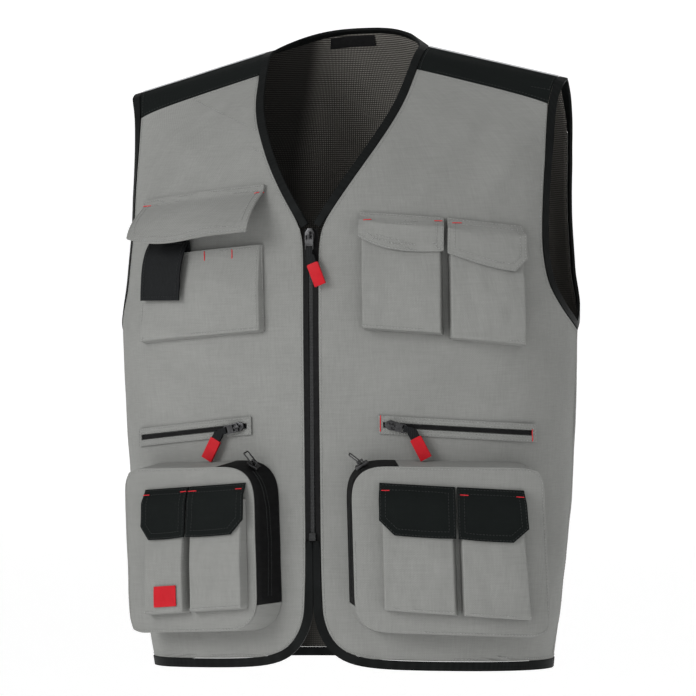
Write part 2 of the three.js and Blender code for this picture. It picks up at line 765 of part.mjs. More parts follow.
function backYoke() {
  const ridgeGap = PIPING_HALF_WIDTH + SEAM_GAP;
  const ridgeFrom = roundAtX(NECK_HALF_WIDTH + BINDING_WIDTH + SEAM_GAP);
  const ridgeTo = roundAtX(SHOULDER_HALF_WIDTH - BINDING_WIDTH - SEAM_GAP);
  const half = (sign) => {
    const stops = [];
    for (let i = 0; i <= RIDGE_STOPS; i += 1) {
      stops.push({ s: sign * mix(ridgeFrom, ridgeTo, i / RIDGE_STOPS), q: ridgeGap, side: BACK });
    }
    return stops;
  };
  const top = [...half(-1).reverse(), ...neck.back.map((stop) => stop.cut), ...half(1)];
  const right = armholes.right.back;
  const left = armholes.left.back;
  const low = heightOf(left[YOKE_ROWS - 1].cut);
  const grid = [top];
  for (let i = 1; i <= YOKE_ROWS; i += 1) {
    const row = top.map((place, j) => {
      const f = j / (top.length - 1);
      const bottom = at(mix(right[YOKE_ROWS - 1].cut.s, left[YOKE_ROWS - 1].cut.s, f), low, BACK);
      return betweenDown(place, bottom, i / YOKE_ROWS);
    });
    row[0] = right[i - 1].cut;
    row[row.length - 1] = left[i - 1].cut;
    grid.push(row);
  }
  return grid;
}

function backPanel(columns) {
  const seam = (sign, z) => at(sign * (seamAt(z, BACK) - SEAM_GAP / 2), z, BACK);
  const right = armholes.right.back.slice(YOKE_ROWS - 1).map((stop) => stop.cut);
  const left = armholes.left.back.slice(YOKE_ROWS - 1).map((stop) => stop.cut);
  const hemCut = HEM_Z + HEM_BINDING_WIDTH + SEAM_GAP;
  const pit = ARMPIT_Z - BINDING_WIDTH - SEAM_GAP;
  for (let i = 0; i <= BACK_PANEL_ROWS; i += 1) {
    const z = mix(pit, hemCut, i / BACK_PANEL_ROWS);
    right.push(seam(-1, z));
    left.push(seam(1, z));
  }
  const grid = right.map((place, i) => {
    const spread = (f) => mix(f, bothWays(f), i / (right.length - 1));
    return rowBetween(place, left[i], columns, spread, between);
  });
  grid[0] = grid[0].map((place) => ({ ...place, q: place.q + SEAM_GAP }));
  return grid;
}

const backYokeGrid = backYoke();
const BACK_COLUMNS = backYokeGrid[0].length - 1;
const backPanelGrid = backPanel(BACK_COLUMNS);
add('back_yoke', clothSheet(backYokeGrid), 'black');
add('back_panel', clothSheet(backPanelGrid), 'grey');

const liningGrid = [...backYokeGrid, ...backPanelGrid.slice(1)];
const LINING_LIFT = -CLOTH - LINING_GAP;
add('back_lining', sheet(liningGrid.map((row) => row.map((place) => point(place, LINING_LIFT))),
  liningGrid.map((row) => row.map((place) => point(place, LINING_LIFT - LINING)))), 'mesh');

// Bindings of the neck, the armholes and the hem
const neckStops = [...[...neck.right].reverse(), ...neck.back, ...neck.left];
add('neck_binding', loft(neckStops.map(bindingSection)), 'black');
for (const sign of [-1, 1]) {
  const name = sideName(sign);
  add('armhole_binding_' + name, loft(armholes[name].stops.map(bindingSection), true), 'black');
}

const ZIP_FOOT_Z = HEM_Z + ZIP_BOTTOM_ABOVE_HEM;
const BINDING_EDGE_GAP = 0.3;

for (const sign of [-1, 1]) {
  const name = sideName(sign);
  const straight = [];
  const rows = 3;
  for (let i = 0; i < rows; i += 1) {
    const z = mix(ZIP_FOOT_Z, CORNER_TOP_Z, i / rows);
    const middle = drift(z);
    straight.push({
      edge: at(middle + sign * BINDING_EDGE_GAP, z, FRONT),
      seam: at(middle + sign * (ZIP_HALF_WIDTH - SEAM_GAP / 2), z, FRONT),
    });
  }
  add('hem_binding_' + name, loft([...straight, ...hems[name].stops].map(bindingSection)), 'black');
}

const backHem = [];
for (let j = 0; j <= BACK_COLUMNS; j += 1) {
  const seam = seamAt(HEM_Z, BACK) - SEAM_GAP / 2;
  const s = mix(-seam, seam, bothWays(j / BACK_COLUMNS));
  backHem.push({ edge: at(s, HEM_Z, BACK), seam: at(s, HEM_Z + HEM_BINDING_WIDTH, BACK) });
}
add('hem_binding_back', loft(backHem.map(bindingSection)), 'black');

// Piping: two fine ribs in the shoulder seam
function pipingSection(s) {
  const half = PIPING_HALF_WIDTH;
  const profile = [
    [1, 0, FRONT], [0.7, 0.9, FRONT], [0.3, 0.9, FRONT], [0, 0.4, FRONT],
    [0.3, 0.9, BACK], [0.7, 0.9, BACK], [1, 0, BACK], [0, -0.7, FRONT],
  ];
  return profile.map(([q, lift, side]) => point({ s, q: q * half, side }, lift * PIPING_HEIGHT));
}

const PIPING_STOPS = 8;
for (const sign of [-1, 1]) {
  const from = roundAtX(NECK_HALF_WIDTH + BINDING_WIDTH + SEAM_GAP);
  const to = roundAtX(SHOULDER_HALF_WIDTH - BINDING_WIDTH - SEAM_GAP);
  const sections = [];
  for (let i = 0; i <= PIPING_STOPS; i += 1) {
    sections.push(pipingSection(sign * mix(from, to, i / PIPING_STOPS)));
  }
  add('shoulder_piping_' + sideName(sign), loft(sections), 'piping');
}

// Front zip: two tapes, and a chain that ends in the box
const zipTopZ = heightOf(neck.left[neck.left.length - 1].seam) - SEAM_GAP;
const TAPE_STOPS = 12;
const TAPE_DROP = 0.3;
const CHAIN_GAP = 0.4;

for (const sign of [-1, 1]) {
  const sections = [];
  for (let i = 0; i <= TAPE_STOPS; i += 1) {
    const z = mix(zipTopZ - SEAM_GAP, ZIP_FOOT_Z + SEAM_GAP, i / TAPE_STOPS);
    const near = at(drift(z) + sign * (CHAIN_HALF_WIDTH + CHAIN_GAP), z, FRONT);
    const far = at(drift(z) + sign * (ZIP_HALF_WIDTH - SEAM_GAP / 2), z, FRONT);
    sections.push([point(near, -TAPE_DROP), point(far, -TAPE_DROP), point(far, -CLOTH), point(near, -CLOTH)]);
  }
  add('zip_tape_' + sideName(sign), loft(sections), 'black');
}

function chainSection(z, half, low, high) {
  const side = (sign) => at(drift(z) + sign * half, z, FRONT);
  return [point(side(-1), high), point(side(1), high), point(side(1), low), point(side(-1), low)];
}

const chain = [];
const boxTop = ZIP_FOOT_Z + BOX_LENGTH;
for (let i = 0; i <= TAPE_STOPS; i += 1) {
  chain.push(chainSection(mix(zipTopZ, boxTop, i / TAPE_STOPS), CHAIN_HALF_WIDTH, -CLOTH, CHAIN_HEIGHT));
}
const boxHigh = 2 * CHAIN_HEIGHT;
chain.push(chainSection(boxTop - SEAM_GAP, BOX_HALF_WIDTH, CHAIN_GAP, boxHigh));
chain.push(chainSection(ZIP_FOOT_Z + SEAM_GAP, BOX_HALF_WIDTH, CHAIN_GAP, boxHigh));
add('zip_chain', loft(chain), 'metal');

// Neck label, sewn to the lining below the binding: it lies on the lining's own cells
const labelLift = LINING_LIFT - LINING - SEAT_GAP;
const middleColumn = BACK_COLUMNS / 2;
const labelCell = liningGrid[0][middleColumn + 1].s - liningGrid[0][middleColumn].s;
const labelDrop = NECK_LABEL_HEIGHT / (liningGrid[1][middleColumn].q - liningGrid[0][middleColumn].q);

function onLining(column, row, lift) {
  const c = Math.floor(column);
  const corner = (i, j) => point(liningGrid[i][j], lift);
  const top = corner(0, c).lerp(corner(0, c + 1), column - c);
  return top.lerp(corner(1, c).lerp(corner(1, c + 1), column - c), row);
}

const labelGrid = (lift) => [0.05, 1].map((v) => [0, 0.25, 0.5, 0.75, 1].map((u) =>
  onLining(middleColumn + ((u - 0.5) * NECK_LABEL_WIDTH + NECK_LABEL_SHIFT) / labelCell, v * labelDrop, lift)));
add('neck_label', sheet(labelGrid(labelLift), labelGrid(labelLift - LABEL_CLOTH)), 'black');

// A patch pocket is a tray of cloth with bellows sides, open behind and at its mouth.
// Its top line falls outwards by its slope, and it is shallower at the mouth.
const POCKET_COLUMNS = [0.16, 0.33, 0.5, 0.67, 0.84];
const POCKET_ROWS = [0, 0.14, 0.3, 0.5, 0.75];
const MOUTH_SHARE = 0.55;

function pocketLift(pocket, down) {
  return pocket.lift + pocket.depth * mix(MOUTH_SHARE, 1, smooth(down / 0.5));
}

function pocketPlace(pocket, u, v) {
  const s = mix(pocket.start, pocket.start + pocket.width, u);
  return at(pocket.sign * s, -pocket.drop - pocket.slope * (s - pocket.start) - v * pocket.height, FRONT);
}

function patchPocket(pocket) {
  const edge = pocket.splay / pocket.width;
  const foot = pocket.splay / pocket.height;
  const wall = CLOTH / pocket.width;
  const floor = CLOTH / pocket.height;
  const face = (inner) => {
    const w = inner ? wall : 0;
    const f = inner ? floor : 0;
    const us = [w, edge + w, ...POCKET_COLUMNS, 1 - edge - w, 1 - w];
    const vs = [...POCKET_ROWS, 1 - foot - f, 1 - f];
    return vs.map((v, r) => us.map((u, c) => {
      const base = r === vs.length - 1 || c === 0 || c === us.length - 1;
      const lift = base ? pocket.lift : pocketLift(pocket, v) - (inner ? CLOTH : 0);
      return point(pocketPlace(pocket, u, v), lift);
    }));
  };
  return sheet(face(false), face(true));
}

// A flap is sewn on above the pocket and lies over its mouth. Its edge table gives its length across it.
function alongEdge(table, u) {
  let i = 0;
  while (i < table.length - 2 && u > table[i + 1].across) i += 1;
  const f = clamp01((u - table[i].across) / (table[i + 1].across - table[i].across));
  return mix(table[i].long, table[i + 1].long, f);
}

const FLAP_ROWS = [0, 0.15, 0.32, 0.55, 0.8, 1];
const FLAP_OVER = 1;

function pocketFlap(pocket, edge, length) {
  const columns = edge.map((row) => row.across);
  const rise = (POCKET_MOUTH_BELOW - POCKET_HEADER) / length;
  const start = POCKET_HEADER / length;
  const grid = (thick) => FLAP_ROWS.map((v) => columns.map((u) => {
    const down = v * alongEdge(edge, u) * length;
    const over = Math.max(0, down - POCKET_MOUTH_BELOW) / pocket.height;
    const under = mix(pocket.lift, pocketLift(pocket, over) + FLAP_OVER, smooth((down / length - start) / rise + 0.6));
    const s = mix(pocket.start - FLAP_OVER, pocket.start + pocket.width + FLAP_OVER, u);
    const z = -pocket.drop + POCKET_MOUTH_BELOW - pocket.slope * (s - pocket.start) - down;
    return point(at(pocket.sign * s, z, FRONT), under + thick);
  }));
  return sheet(grid(FLAP_CLOTH), grid(0));
}

const BELLOWS_SPLAY = 2.5;
const FIRST_FLAP_EDGE = [
  { across: 0, long: 0.66 }, { across: 0.14, long: 0.84 }, { across: 0.38, long: 0.98 },
  { across: 0.68, long: 1 }, { across: 1, long: 0.93 },
];
const SECOND_FLAP_EDGE = [
  { across: 0, long: 0.74 }, { across: 0.3, long: 0.87 }, { across: 0.62, long: 0.98 },
  { across: 0.84, long: 1 }, { across: 1, long: 0.72 },
];

const firstPocket = {
  sign: 1, start: LEFT_POCKETS_START, width: FIRST_POCKET_WIDTH, drop: LEFT_POCKETS_DROP + POCKET_MOUTH_BELOW,
  height: FIRST_POCKET_HEIGHT - POCKET_MOUTH_BELOW, slope: FIRST_POCKET_SLOPE, depth: CHEST_POCKET_DEPTH,
  lift: SEAT_GAP, splay: BELLOWS_SPLAY,
};
const secondPocket = {
  sign: 1, start: LEFT_POCKETS_START + FIRST_POCKET_WIDTH + POCKET_SPACING, width: SECOND_POCKET_WIDTH,
  drop: firstPocket.drop + FIRST_POCKET_SLOPE * (FIRST_POCKET_WIDTH + POCKET_SPACING),
  height: SECOND_POCKET_HEIGHT - POCKET_MOUTH_BELOW, slope: SECOND_POCKET_SLOPE, depth: CHEST_POCKET_DEPTH,
  lift: SEAT_GAP, splay: BELLOWS_SPLAY,
};
add('chest_pocket_first', patchPocket(firstPocket), 'grey');
add('chest_flap_first', pocketFlap(firstPocket, FIRST_FLAP_EDGE, FIRST_FLAP_LENGTH), 'grey');
add('chest_pocket_second', patchPocket(secondPocket), 'grey');
add('chest_flap_second', pocketFlap(secondPocket, SECOND_FLAP_EDGE, SECOND_FLAP_LENGTH), 'grey');

// Chest pocket on the wearer's right: its flap stands out, and a wide strap hangs over its mouth
const rightPocket = {
  sign: -1, start: RIGHT_POCKET_START, width: RIGHT_POCKET_WIDTH, drop: RIGHT_POCKET_MOUTH,
  height: RIGHT_POCKET_HEIGHT, slope: RIGHT_POCKET_SLOPE, depth: RIGHT_POCKET_DEPTH, lift: SEAT_GAP, splay: BELLOWS_SPLAY,
};
add('chest_pocket_right', patchPocket(rightPocket), 'grey');

const RIGHT_FLAP_EDGE = [
  { across: 0, long: 0.96 }, { across: 0.16, long: 0.98 }, { across: 0.33, long: 1 }, { across: 0.5, long: 1.06 },
  { across: 0.67, long: 1.08 }, { across: 0.84, long: 1.04 }, { across: 1, long: 0.94 },
];
const RIGHT_FLAP_ROWS = [
  { down: 0, stand: 0 }, { down: 0.13, stand: 0.01 }, { down: 0.2, stand: 0.08 }, { down: 0.38, stand: 0.33 },
  { down: 0.6, stand: 0.61 }, { down: 0.82, stand: 0.86 }, { down: 1, stand: 1 },
];

function liftedFlap() {
  const length = RIGHT_FLAP_HEADER + RIGHT_FLAP_FALL;
  const grid = (thick) => RIGHT_FLAP_ROWS.map((row) => RIGHT_FLAP_EDGE.map(({ across, long }) => {
    const s = rightPocket.start + across * (RIGHT_FLAP_WIDTH - RIGHT_FLAP_TAPER * row.stand);
    const down = row.down * length * mix(1, long, row.stand);
    const z = -RIGHT_FLAP_DROP - RIGHT_FLAP_SLOPE * (s - rightPocket.start) - down;
    const lift = SEAT_GAP + row.stand * RIGHT_FLAP_STAND * (0.92 + 0.08 * Math.sin(Math.PI * across));
    const tuck = row.stand * thick * 0.5;
    return point(at(-s, z + tuck, FRONT), lift + thick);
  }));
  return sheet(grid(FLAP_CLOTH), grid(0));
}
add('chest_flap_right', liftedFlap(), 'grey');

// The strap comes up inside the pocket, turns over the mouth and hangs in front
const STRAP_CLOTH = 1.8;
const STRAP_BEND = 12;
const STRAP_INSIDE = 1.5;
const STRAP_CLEAR = 2;
const STRAP_CROWN = 1;

function phoneStrap() {
  const inside = SEAT_GAP + STRAP_INSIDE;
  const mouthLift = pocketLift(rightPocket, 0);
  const hangLift = mouthLift + STRAP_CLEAR;
  const middle = STRAP_START + STRAP_WIDTH / 2 - rightPocket.start;
  const top = -rightPocket.drop - rightPocket.slope * middle + STRAP_BEND;
  const path = [
    { z: top - STRAP_BEND - STRAP_TUCK, lift: inside },
    { z: top - STRAP_BEND, lift: inside },
    { z: top, lift: mix(inside, hangLift, 0.35) },
    { z: top + STRAP_CROWN, lift: mix(inside, hangLift, 0.75) },
    { z: top - 0.45 * STRAP_BEND, lift: hangLift + 0.3 * STRAP_STAND },
    { z: top - 0.3 * STRAP_HANG, lift: hangLift + 0.8 * STRAP_STAND },
    { z: top - 0.65 * STRAP_HANG, lift: hangLift + STRAP_STAND },
    { z: top - STRAP_HANG, lift: hangLift + 0.85 * STRAP_STAND },
  ];
  const columns = [0, 0.25, 0.5, 0.75, 1];
  const place = (row, u) => {
    const lean = STRAP_LEAN * clamp01((top - row.z) / STRAP_HANG);
    return at(-(STRAP_START + lean + u * (STRAP_WIDTH - lean / 2)), row.z, FRONT);
  };
  const centre = path.map((row) => new THREE.Vector2(row.z, row.lift));
  const face = (thick) => path.map((row, i) => {
    const before = centre[Math.max(0, i - 1)];
    const after = centre[Math.min(path.length - 1, i + 1)];
    const along = after.clone().sub(before).normalize();
    const shifted = { z: row.z + along.y * thick, lift: row.lift - along.x * thick };
    return columns.map((u) => point(place(shifted, u), shifted.lift));
  });
  return sheet(face(STRAP_CLOTH / 2), face(-STRAP_CLOTH / 2));
}
add('phone_strap', phoneStrap(), 'black');

// Cargo pockets: a front patch on gusset walls, one of them a zip between two black tapes
const CARGO_TOP = BODY_LENGTH - CARGO_ABOVE_HEM - CARGO_HEIGHT;
const CARGO_SIDE_CELLS = 7;
const CARGO_ARC_CELLS = 3;
const ZIP_END_STOP = CARGO_SIDE_CELLS + CARGO_ARC_CELLS + 1;

function cargoOutline(cargo, grow, zipGrow) {
  const inner = cargo.start - zipGrow;
  const outer = cargo.start + cargo.width + grow;
  const top = CARGO_TOP - grow;
  const bottom = CARGO_TOP + CARGO_HEIGHT + grow;
  const ri = CARGO_INNER_ROUND + grow;
  const ro = CARGO_OUTER_ROUND + grow;
  const stops = [];
  const line = (ax, ay, bx, by) => {
    for (let i = 0; i < CARGO_SIDE_CELLS; i += 1) {
      stops.push([mix(ax, bx, i / CARGO_SIDE_CELLS), mix(ay, by, i / CARGO_SIDE_CELLS)]);
    }
  };
  const arc = (cx, cy, r, from) => {
    for (let i = 0; i < CARGO_ARC_CELLS; i += 1) {
      const angle = from - i / CARGO_ARC_CELLS * Math.PI / 2;
      stops.push([cx + r * Math.cos(angle), cy - r * Math.sin(angle)]);
    }
  };
  line(inner, bottom - ri, inner, top + ri);
  arc(inner + ri, top + ri, ri, Math.PI);
  line(inner + ri, top, outer - ro, top);
  arc(outer - ro, top + ro, ro, Math.PI / 2);
  line(outer, top + ro, outer, bottom - ro);
  arc(outer - ro, bottom - ro, ro, 0);
  line(outer - ro, bottom, inner + ri, bottom);
  arc(inner + ri, bottom - ri, ri, -Math.PI / 2);
  return stops;
}

function cargoPlace(cargo, [s, down]) {
  return at(cargo.sign * s, -down - CARGO_SLOPE * (s - cargo.start), FRONT);
}

const CARGO_FRONT_LIFT = SEAT_GAP + CARGO_DEPTH;

function cargoStops(cargo) {
  const front = cargoOutline(cargo, 0, 0);
  const frontIn = cargoOutline(cargo, -CLOTH, -CLOTH);
  const base = cargoOutline(cargo, CARGO_SPLAY, CARGO_ZIP_SPLAY);
  const baseIn = cargoOutline(cargo, CARGO_SPLAY - CLOTH, CARGO_ZIP_SPLAY - CLOTH);
  const high = CARGO_FRONT_LIFT - CLOTH - SEAM_GAP;
  return front.map((stop, i) => [
    point(cargoPlace(cargo, base[i]), SEAT_GAP), point(cargoPlace(cargo, stop), high),
    point(cargoPlace(cargo, frontIn[i]), high), point(cargoPlace(cargo, baseIn[i]), SEAT_GAP),
  ]);
}

function nudged(a, b) {
  const f = SEAM_GAP / a[1].distanceTo(b[1]);
  return a.map((p, i) => p.clone().lerp(b[i], f));
}

function cargoFront(cargo) {
  const ri = CARGO_INNER_ROUND;
  const ro = CARGO_OUTER_ROUND;
  const rows = [];
  for (let i = 0; i <= CARGO_ARC_CELLS; i += 1) rows.push(ri * (1 - Math.cos(i / CARGO_ARC_CELLS * Math.PI / 2)));
  for (let i = 1; i < CARGO_SIDE_CELLS; i += 1) rows.push(mix(ri, CARGO_HEIGHT - ri, i / CARGO_SIDE_CELLS));
  for (let i = CARGO_ARC_CELLS; i >= 0; i -= 1) {
    rows.push(CARGO_HEIGHT - ri * (1 - Math.cos(i / CARGO_ARC_CELLS * Math.PI / 2)));
  }
  const roundOff = (r, down) => {
    const far = Math.min(down, CARGO_HEIGHT - down);
    return far >= r ? 0 : r - Math.sqrt(r * r - (r - far) ** 2);
  };
  const columns = [0, 0.12, 0.25, 0.38, 0.5, 0.62, 0.74, 0.83, 0.92, 1];
  const face = (lift) => rows.map((down) => columns.map((u) => {
    const from = cargo.start + roundOff(ri, down);
    const to = cargo.start + cargo.width - roundOff(ro, down);
    return point(cargoPlace(cargo, [mix(from, to, u), CARGO_TOP + down]), lift);
  }));
  return sheet(face(CARGO_FRONT_LIFT), face(CARGO_FRONT_LIFT - CLOTH));
}

const PAIR_FLAP_EDGE = [
  { across: 0, long: 0.72 }, { across: 0.2, long: 0.99 }, { across: 0.46, long: 1 },
  { across: 0.73, long: 1 }, { across: 1, long: 0.98 },
];
const OUTER_FLAP_EDGE = PAIR_FLAP_EDGE.map((row) => ({ across: 1 - row.across, long: row.long })).reverse();

const cargos = {
  right: {
    sign: -1, start: RIGHT_CARGO_START, width: RIGHT_CARGO_WIDTH,
    pairStart: RIGHT_CARGO_START + RIGHT_PAIR_MARGIN, pairWidth: RIGHT_PAIR_WIDTH, pairInner: RIGHT_PAIR_INNER,
  },
  left: {
    sign: 1, start: LEFT_CARGO_START, width: LEFT_CARGO_WIDTH,
    pairStart: LEFT_CARGO_START + LEFT_PAIR_MARGIN, pairWidth: LEFT_PAIR_WIDTH, pairInner: LEFT_PAIR_INNER,
  },
};

function pairPocket(cargo, outerOne) {
  const shift = outerOne ? cargo.pairInner + PAIR_GAP : 0;
  const startLine = CARGO_TOP + PAIR_DROP + POCKET_MOUTH_BELOW + CARGO_SLOPE * (cargo.pairStart - cargo.start);
  return {
    sign: cargo.sign, start: cargo.pairStart + shift,
    width: outerOne ? cargo.pairWidth - shift : cargo.pairInner,
    drop: startLine + PAIR_SLOPE * shift, height: PAIR_HEIGHT - POCKET_MOUTH_BELOW,
    slope: PAIR_SLOPE, depth: PAIR_DEPTH, lift: CARGO_FRONT_LIFT + SEAT_GAP, splay: BELLOWS_SPLAY,
  };
}

const PAIR_SLOPE = 0.075;
const cargoWalls = {};
for (const name of ['right', 'left']) {
  const cargo = cargos[name];
  const stops = cargoStops(cargo);
  cargoWalls[name] = stops;
  add('cargo_front_' + name, cargoFront(cargo), 'grey');
  add('cargo_zip_' + name, loft(stops.slice(0, ZIP_END_STOP + 1)), 'black');
  const start = nudged(stops[ZIP_END_STOP], stops[ZIP_END_STOP + 1]);
  const end = nudged(stops[0], stops[stops.length - 1]);
  add('cargo_gusset_' + name, loft([start, ...stops.slice(ZIP_END_STOP + 1), end]), 'grey');
  const innerPocket = pairPocket(cargo, false);
  const outerPocket = pairPocket(cargo, true);
  add('cargo_pocket_' + name + '_inner', patchPocket(innerPocket), 'grey');
  add('cargo_flap_' + name + '_inner', pocketFlap(innerPocket, PAIR_FLAP_EDGE, PAIR_FLAP_LENGTH), 'black');
  add('cargo_pocket_' + name + '_outer', patchPocket(outerPocket), 'grey');
  add('cargo_flap_' + name + '_outer', pocketFlap(outerPocket, OUTER_FLAP_EDGE, PAIR_FLAP_LENGTH), 'black');
}

// Square label on the outer small pocket of the right cargo pocket
const labelled = pairPocket(cargos.right, true);
const LABEL_IN = 8;
const LABEL_UP = 9;
const cargoLabelLift = labelled.lift + labelled.depth + SEAT_GAP;
const cargoLabelGrid = (lift) => [0, 0.5, 1].map((v) => [0, 0.5, 1].map((u) => {
  const s = labelled.start + LABEL_IN + u * CARGO_LABEL_WIDTH;
  const low = labelled.drop + labelled.slope * (s - labelled.start) + labelled.height - LABEL_UP;
  return point(at(-s, -low + (1 - v) * CARGO_LABEL_HEIGHT, FRONT), lift);
}));
add('cargo_label', sheet(cargoLabelGrid(cargoLabelLift + LABEL_CLOTH), cargoLabelGrid(cargoLabelLift)), 'red');

// Welts: a frame of cloth round a slit, with a zip in it
function weltPlace(welt, u, v) {
  const s = welt.start + u * welt.width;
  return at(welt.sign * s, -(CARGO_TOP - WELT_ABOVE_CARGO) - welt.slope * (s - welt.start) + v, FRONT);
}

const WELT_CELLS = 12;
const WELT_END = 5;

function weltFrame(welt) {
  const sections = [];
  const end = WELT_END / welt.width;
  const half = WELT_HEIGHT / 2;
  const slit = WELT_SLIT / 2;
  const section = (u, v, uIn, vIn) => {
    const outer = weltPlace(welt, u, v);
    const inner = weltPlace(welt, uIn, vIn);
    const high = SEAT_GAP + WELT_CLOTH;
    sections.push([point(outer, SEAT_GAP), point(outer, high), point(inner, high), point(inner, SEAT_GAP)]);
  };
  for (let i = 0; i <= WELT_CELLS; i += 1) {
    const u = i / WELT_CELLS;
    section(u, half, mix(end, 1 - end, u), slit);
  }
  for (let i = WELT_CELLS; i >= 0; i -= 1) {
    const u = i / WELT_CELLS;
    section(u, -half, mix(end, 1 - end, u), -slit);
  }
  return loft(sections, true);
}

function weltZip(welt) {
  const sections = [];
  const end = (WELT_END + SEAM_GAP) / welt.width;
  for (let i = 0; i <= WELT_CELLS; i += 1) {
    const u = mix(end, 1 - end, i / WELT_CELLS);
    const top = weltPlace(welt, u, WELT_ZIP_HALF);
    const bottom = weltPlace(welt, u, -WELT_ZIP_HALF);
    const high = SEAT_GAP + LINING;
    sections.push([point(top, SEAT_GAP), point(top, high), point(bottom, high), point(bottom, SEAT_GAP)]);
  }
  return loft(sections);
}

const welts = {
  right: { sign: -1, start: RIGHT_WELT_START, width: RIGHT_WELT_WIDTH, slope: RIGHT_WELT_SLOPE },
  left: { sign: 1, start: LEFT_WELT_START, width: LEFT_WELT_WIDTH, slope: LEFT_WELT_SLOPE },
};
for (const name of ['right', 'left']) {
  add('welt_' + name, weltFrame(welts[name]), 'grey');
  add('welt_zip_' + name, weltZip(welts[name]), 'black');
}

// Slider, tab and tag, in a frame with the nose along +Y and +Z off the cloth
const PIVOT_HEIGHT = SLIDER_THICK + (BRIDGE_HEIGHT - BRIDGE_WIRE) / 2;

function slab(points, from, thick) {
  const shape = new THREE.Shape(points.map(([x, y]) => new THREE.Vector2(x, y)));
  return new THREE.ExtrudeGeometry(shape, { depth: thick, bevelEnabled: false }).translate(0, 0, from);
}

function block(x, fromY, toY, fromZ, toZ) {
  return slab([[-x, fromY], [x, fromY], [x, toY], [-x, toY]], fromZ, toZ - fromZ);
}

function cut(geometry, ...holes) {
  return fromSolid(holes.map(toSolid).reduce((a, b) => a.subtract(b), toSolid(geometry)));
}

function sliderBody() {
  const w = SLIDER_WIDTH / 2;
  const l = SLIDER_LENGTH / 2;
  const shield = slab([
    [-0.85 * w, -l], [0.85 * w, -l], [w, 0.3 * l], [0.4 * w, l], [-0.4 * w, l], [-w, 0.3 * l],
  ], 0, SLIDER_THICK);
  const b = BRIDGE_LENGTH / 2;
  const top = SLIDER_THICK + BRIDGE_HEIGHT;
  const bridge = cut(block(BRIDGE_WIDTH / 2, -b, b, SLIDER_THICK / 2, top),
    block(BRIDGE_WIDTH, BRIDGE_WIRE - b, b - BRIDGE_WIRE, 0, top - BRIDGE_WIRE));
  return joined(shield, bridge);
}

// The tab is drawn about its pivot: its bar lies under the bridge, its window clears the bridge,
// and the strap goes through its lower window
const TAB_RIM = 1;
const TAB_CORNER = 1.2;
const PLAY = 0.3;
const BRIDGE_WINDOW = BRIDGE_LENGTH / 2 + 1.6;

function tabOutline(length) {
  const w = TAB_WIDTH / 2;
  return slab([
    [-w, TAB_BAR / 2], [w, TAB_BAR / 2], [w, TAB_CORNER - length], [w - TAB_CORNER, -length],
    [TAB_CORNER - w, -length], [-w, TAB_CORNER - length],
  ], -TAB_THICK / 2, TAB_THICK);
}

function tabBody() {
  const window = block(TAB_WIDTH / 2 - TAB_RIM, -BRIDGE_WINDOW, -TAB_BAR / 2, -TAB_THICK, TAB_THICK);
  const slot = block(TAB_WIDTH / 2 - TAB_RIM, TAB_BAR - TAB_LENGTH, 2.6 * TAB_BAR - TAB_LENGTH, -TAB_THICK, TAB_THICK);
  return cut(tabOutline(TAB_LENGTH), window, slot);
}

function loopBody() {
  return cut(tabOutline(LOOP_LENGTH),
    block(TAB_WIDTH / 2 - TAB_RIM, TAB_BAR - LOOP_LENGTH, -TAB_BAR / 2, -TAB_THICK, TAB_THICK));
}

// Strap round the tab's lower bar, with a stiff tag sewn to it that hangs at a slant
function tagBody(turn) {
  const barTop = TAB_BAR - TAB_LENGTH;
  const strapEnd = barTop - PULL_STRAP_LENGTH;
  const half = TAG_THICK / 2;
  const strap = cut(
    block(PULL_STRAP_WIDTH / 2, strapEnd, barTop + PLAY + PULL_STRAP_CLOTH, -half, half),
    block(PULL_STRAP_WIDTH, -TAB_LENGTH - PLAY, barTop + PLAY, -TAB_THICK / 2 - PLAY, TAB_THICK / 2 + PLAY));
  const w = TAG_WIDTH / 2;
  const tag = slab([
    [-0.8 * w, 0], [0.8 * w, 0], [0.8 * w, -TAG_HOLDER], [w, -TAG_HOLDER],
    [w, -TAG_LENGTH], [-w, -TAG_LENGTH], [-w, -TAG_HOLDER], [-0.8 * w, -TAG_HOLDER],
  ], -half, TAG_THICK).rotateZ(turn).translate(0, strapEnd + half, 0);
  return joined(strap, tag);
}

// A pull rides on its frame: the slider is fixed to it and the tab turns about its pivot
function pullGroup(origin, along, off, tabAngle) {
  const z = off.clone().normalize();
  const x = along.clone().cross(z).normalize();
  const y = z.clone().cross(x);
  const frame = new THREE.Group();
  frame.applyMatrix4(new THREE.Matrix4().makeBasis(x, y, z).setPosition(origin));
  const pivot = new THREE.Group();
  pivot.position.set(0, 0, PIVOT_HEIGHT);
  pivot.rotation.x = -tabAngle;
  frame.add(pivot);
  vest.add(frame);
  return { frame, pivot };
}

const ZIP_TAG_TURN = 0.36;
const WELT_TAG_TURN = { right: 0.8, left: 0.85 };
const WELT_SLIDER_IN = 14;
const SLIDER_SEAT = 0.5;

const zipTop = at(drift(zipTopZ), zipTopZ - SLIDER_LENGTH / 2, FRONT);
const zipPull = pullGroup(point(zipTop, CHAIN_HEIGHT + SEAT_GAP), alongDown(zipTop.s, zipTop.q, FRONT).negate(),
  outward(zipTop.s, zipTop.q, FRONT), 0);
add('zip_slider', sliderBody(), 'metal', zipPull.frame);
add('zip_tab', tabBody(), 'metal', zipPull.pivot);
add('zip_tag', tagBody(ZIP_TAG_TURN), 'red', zipPull.pivot);

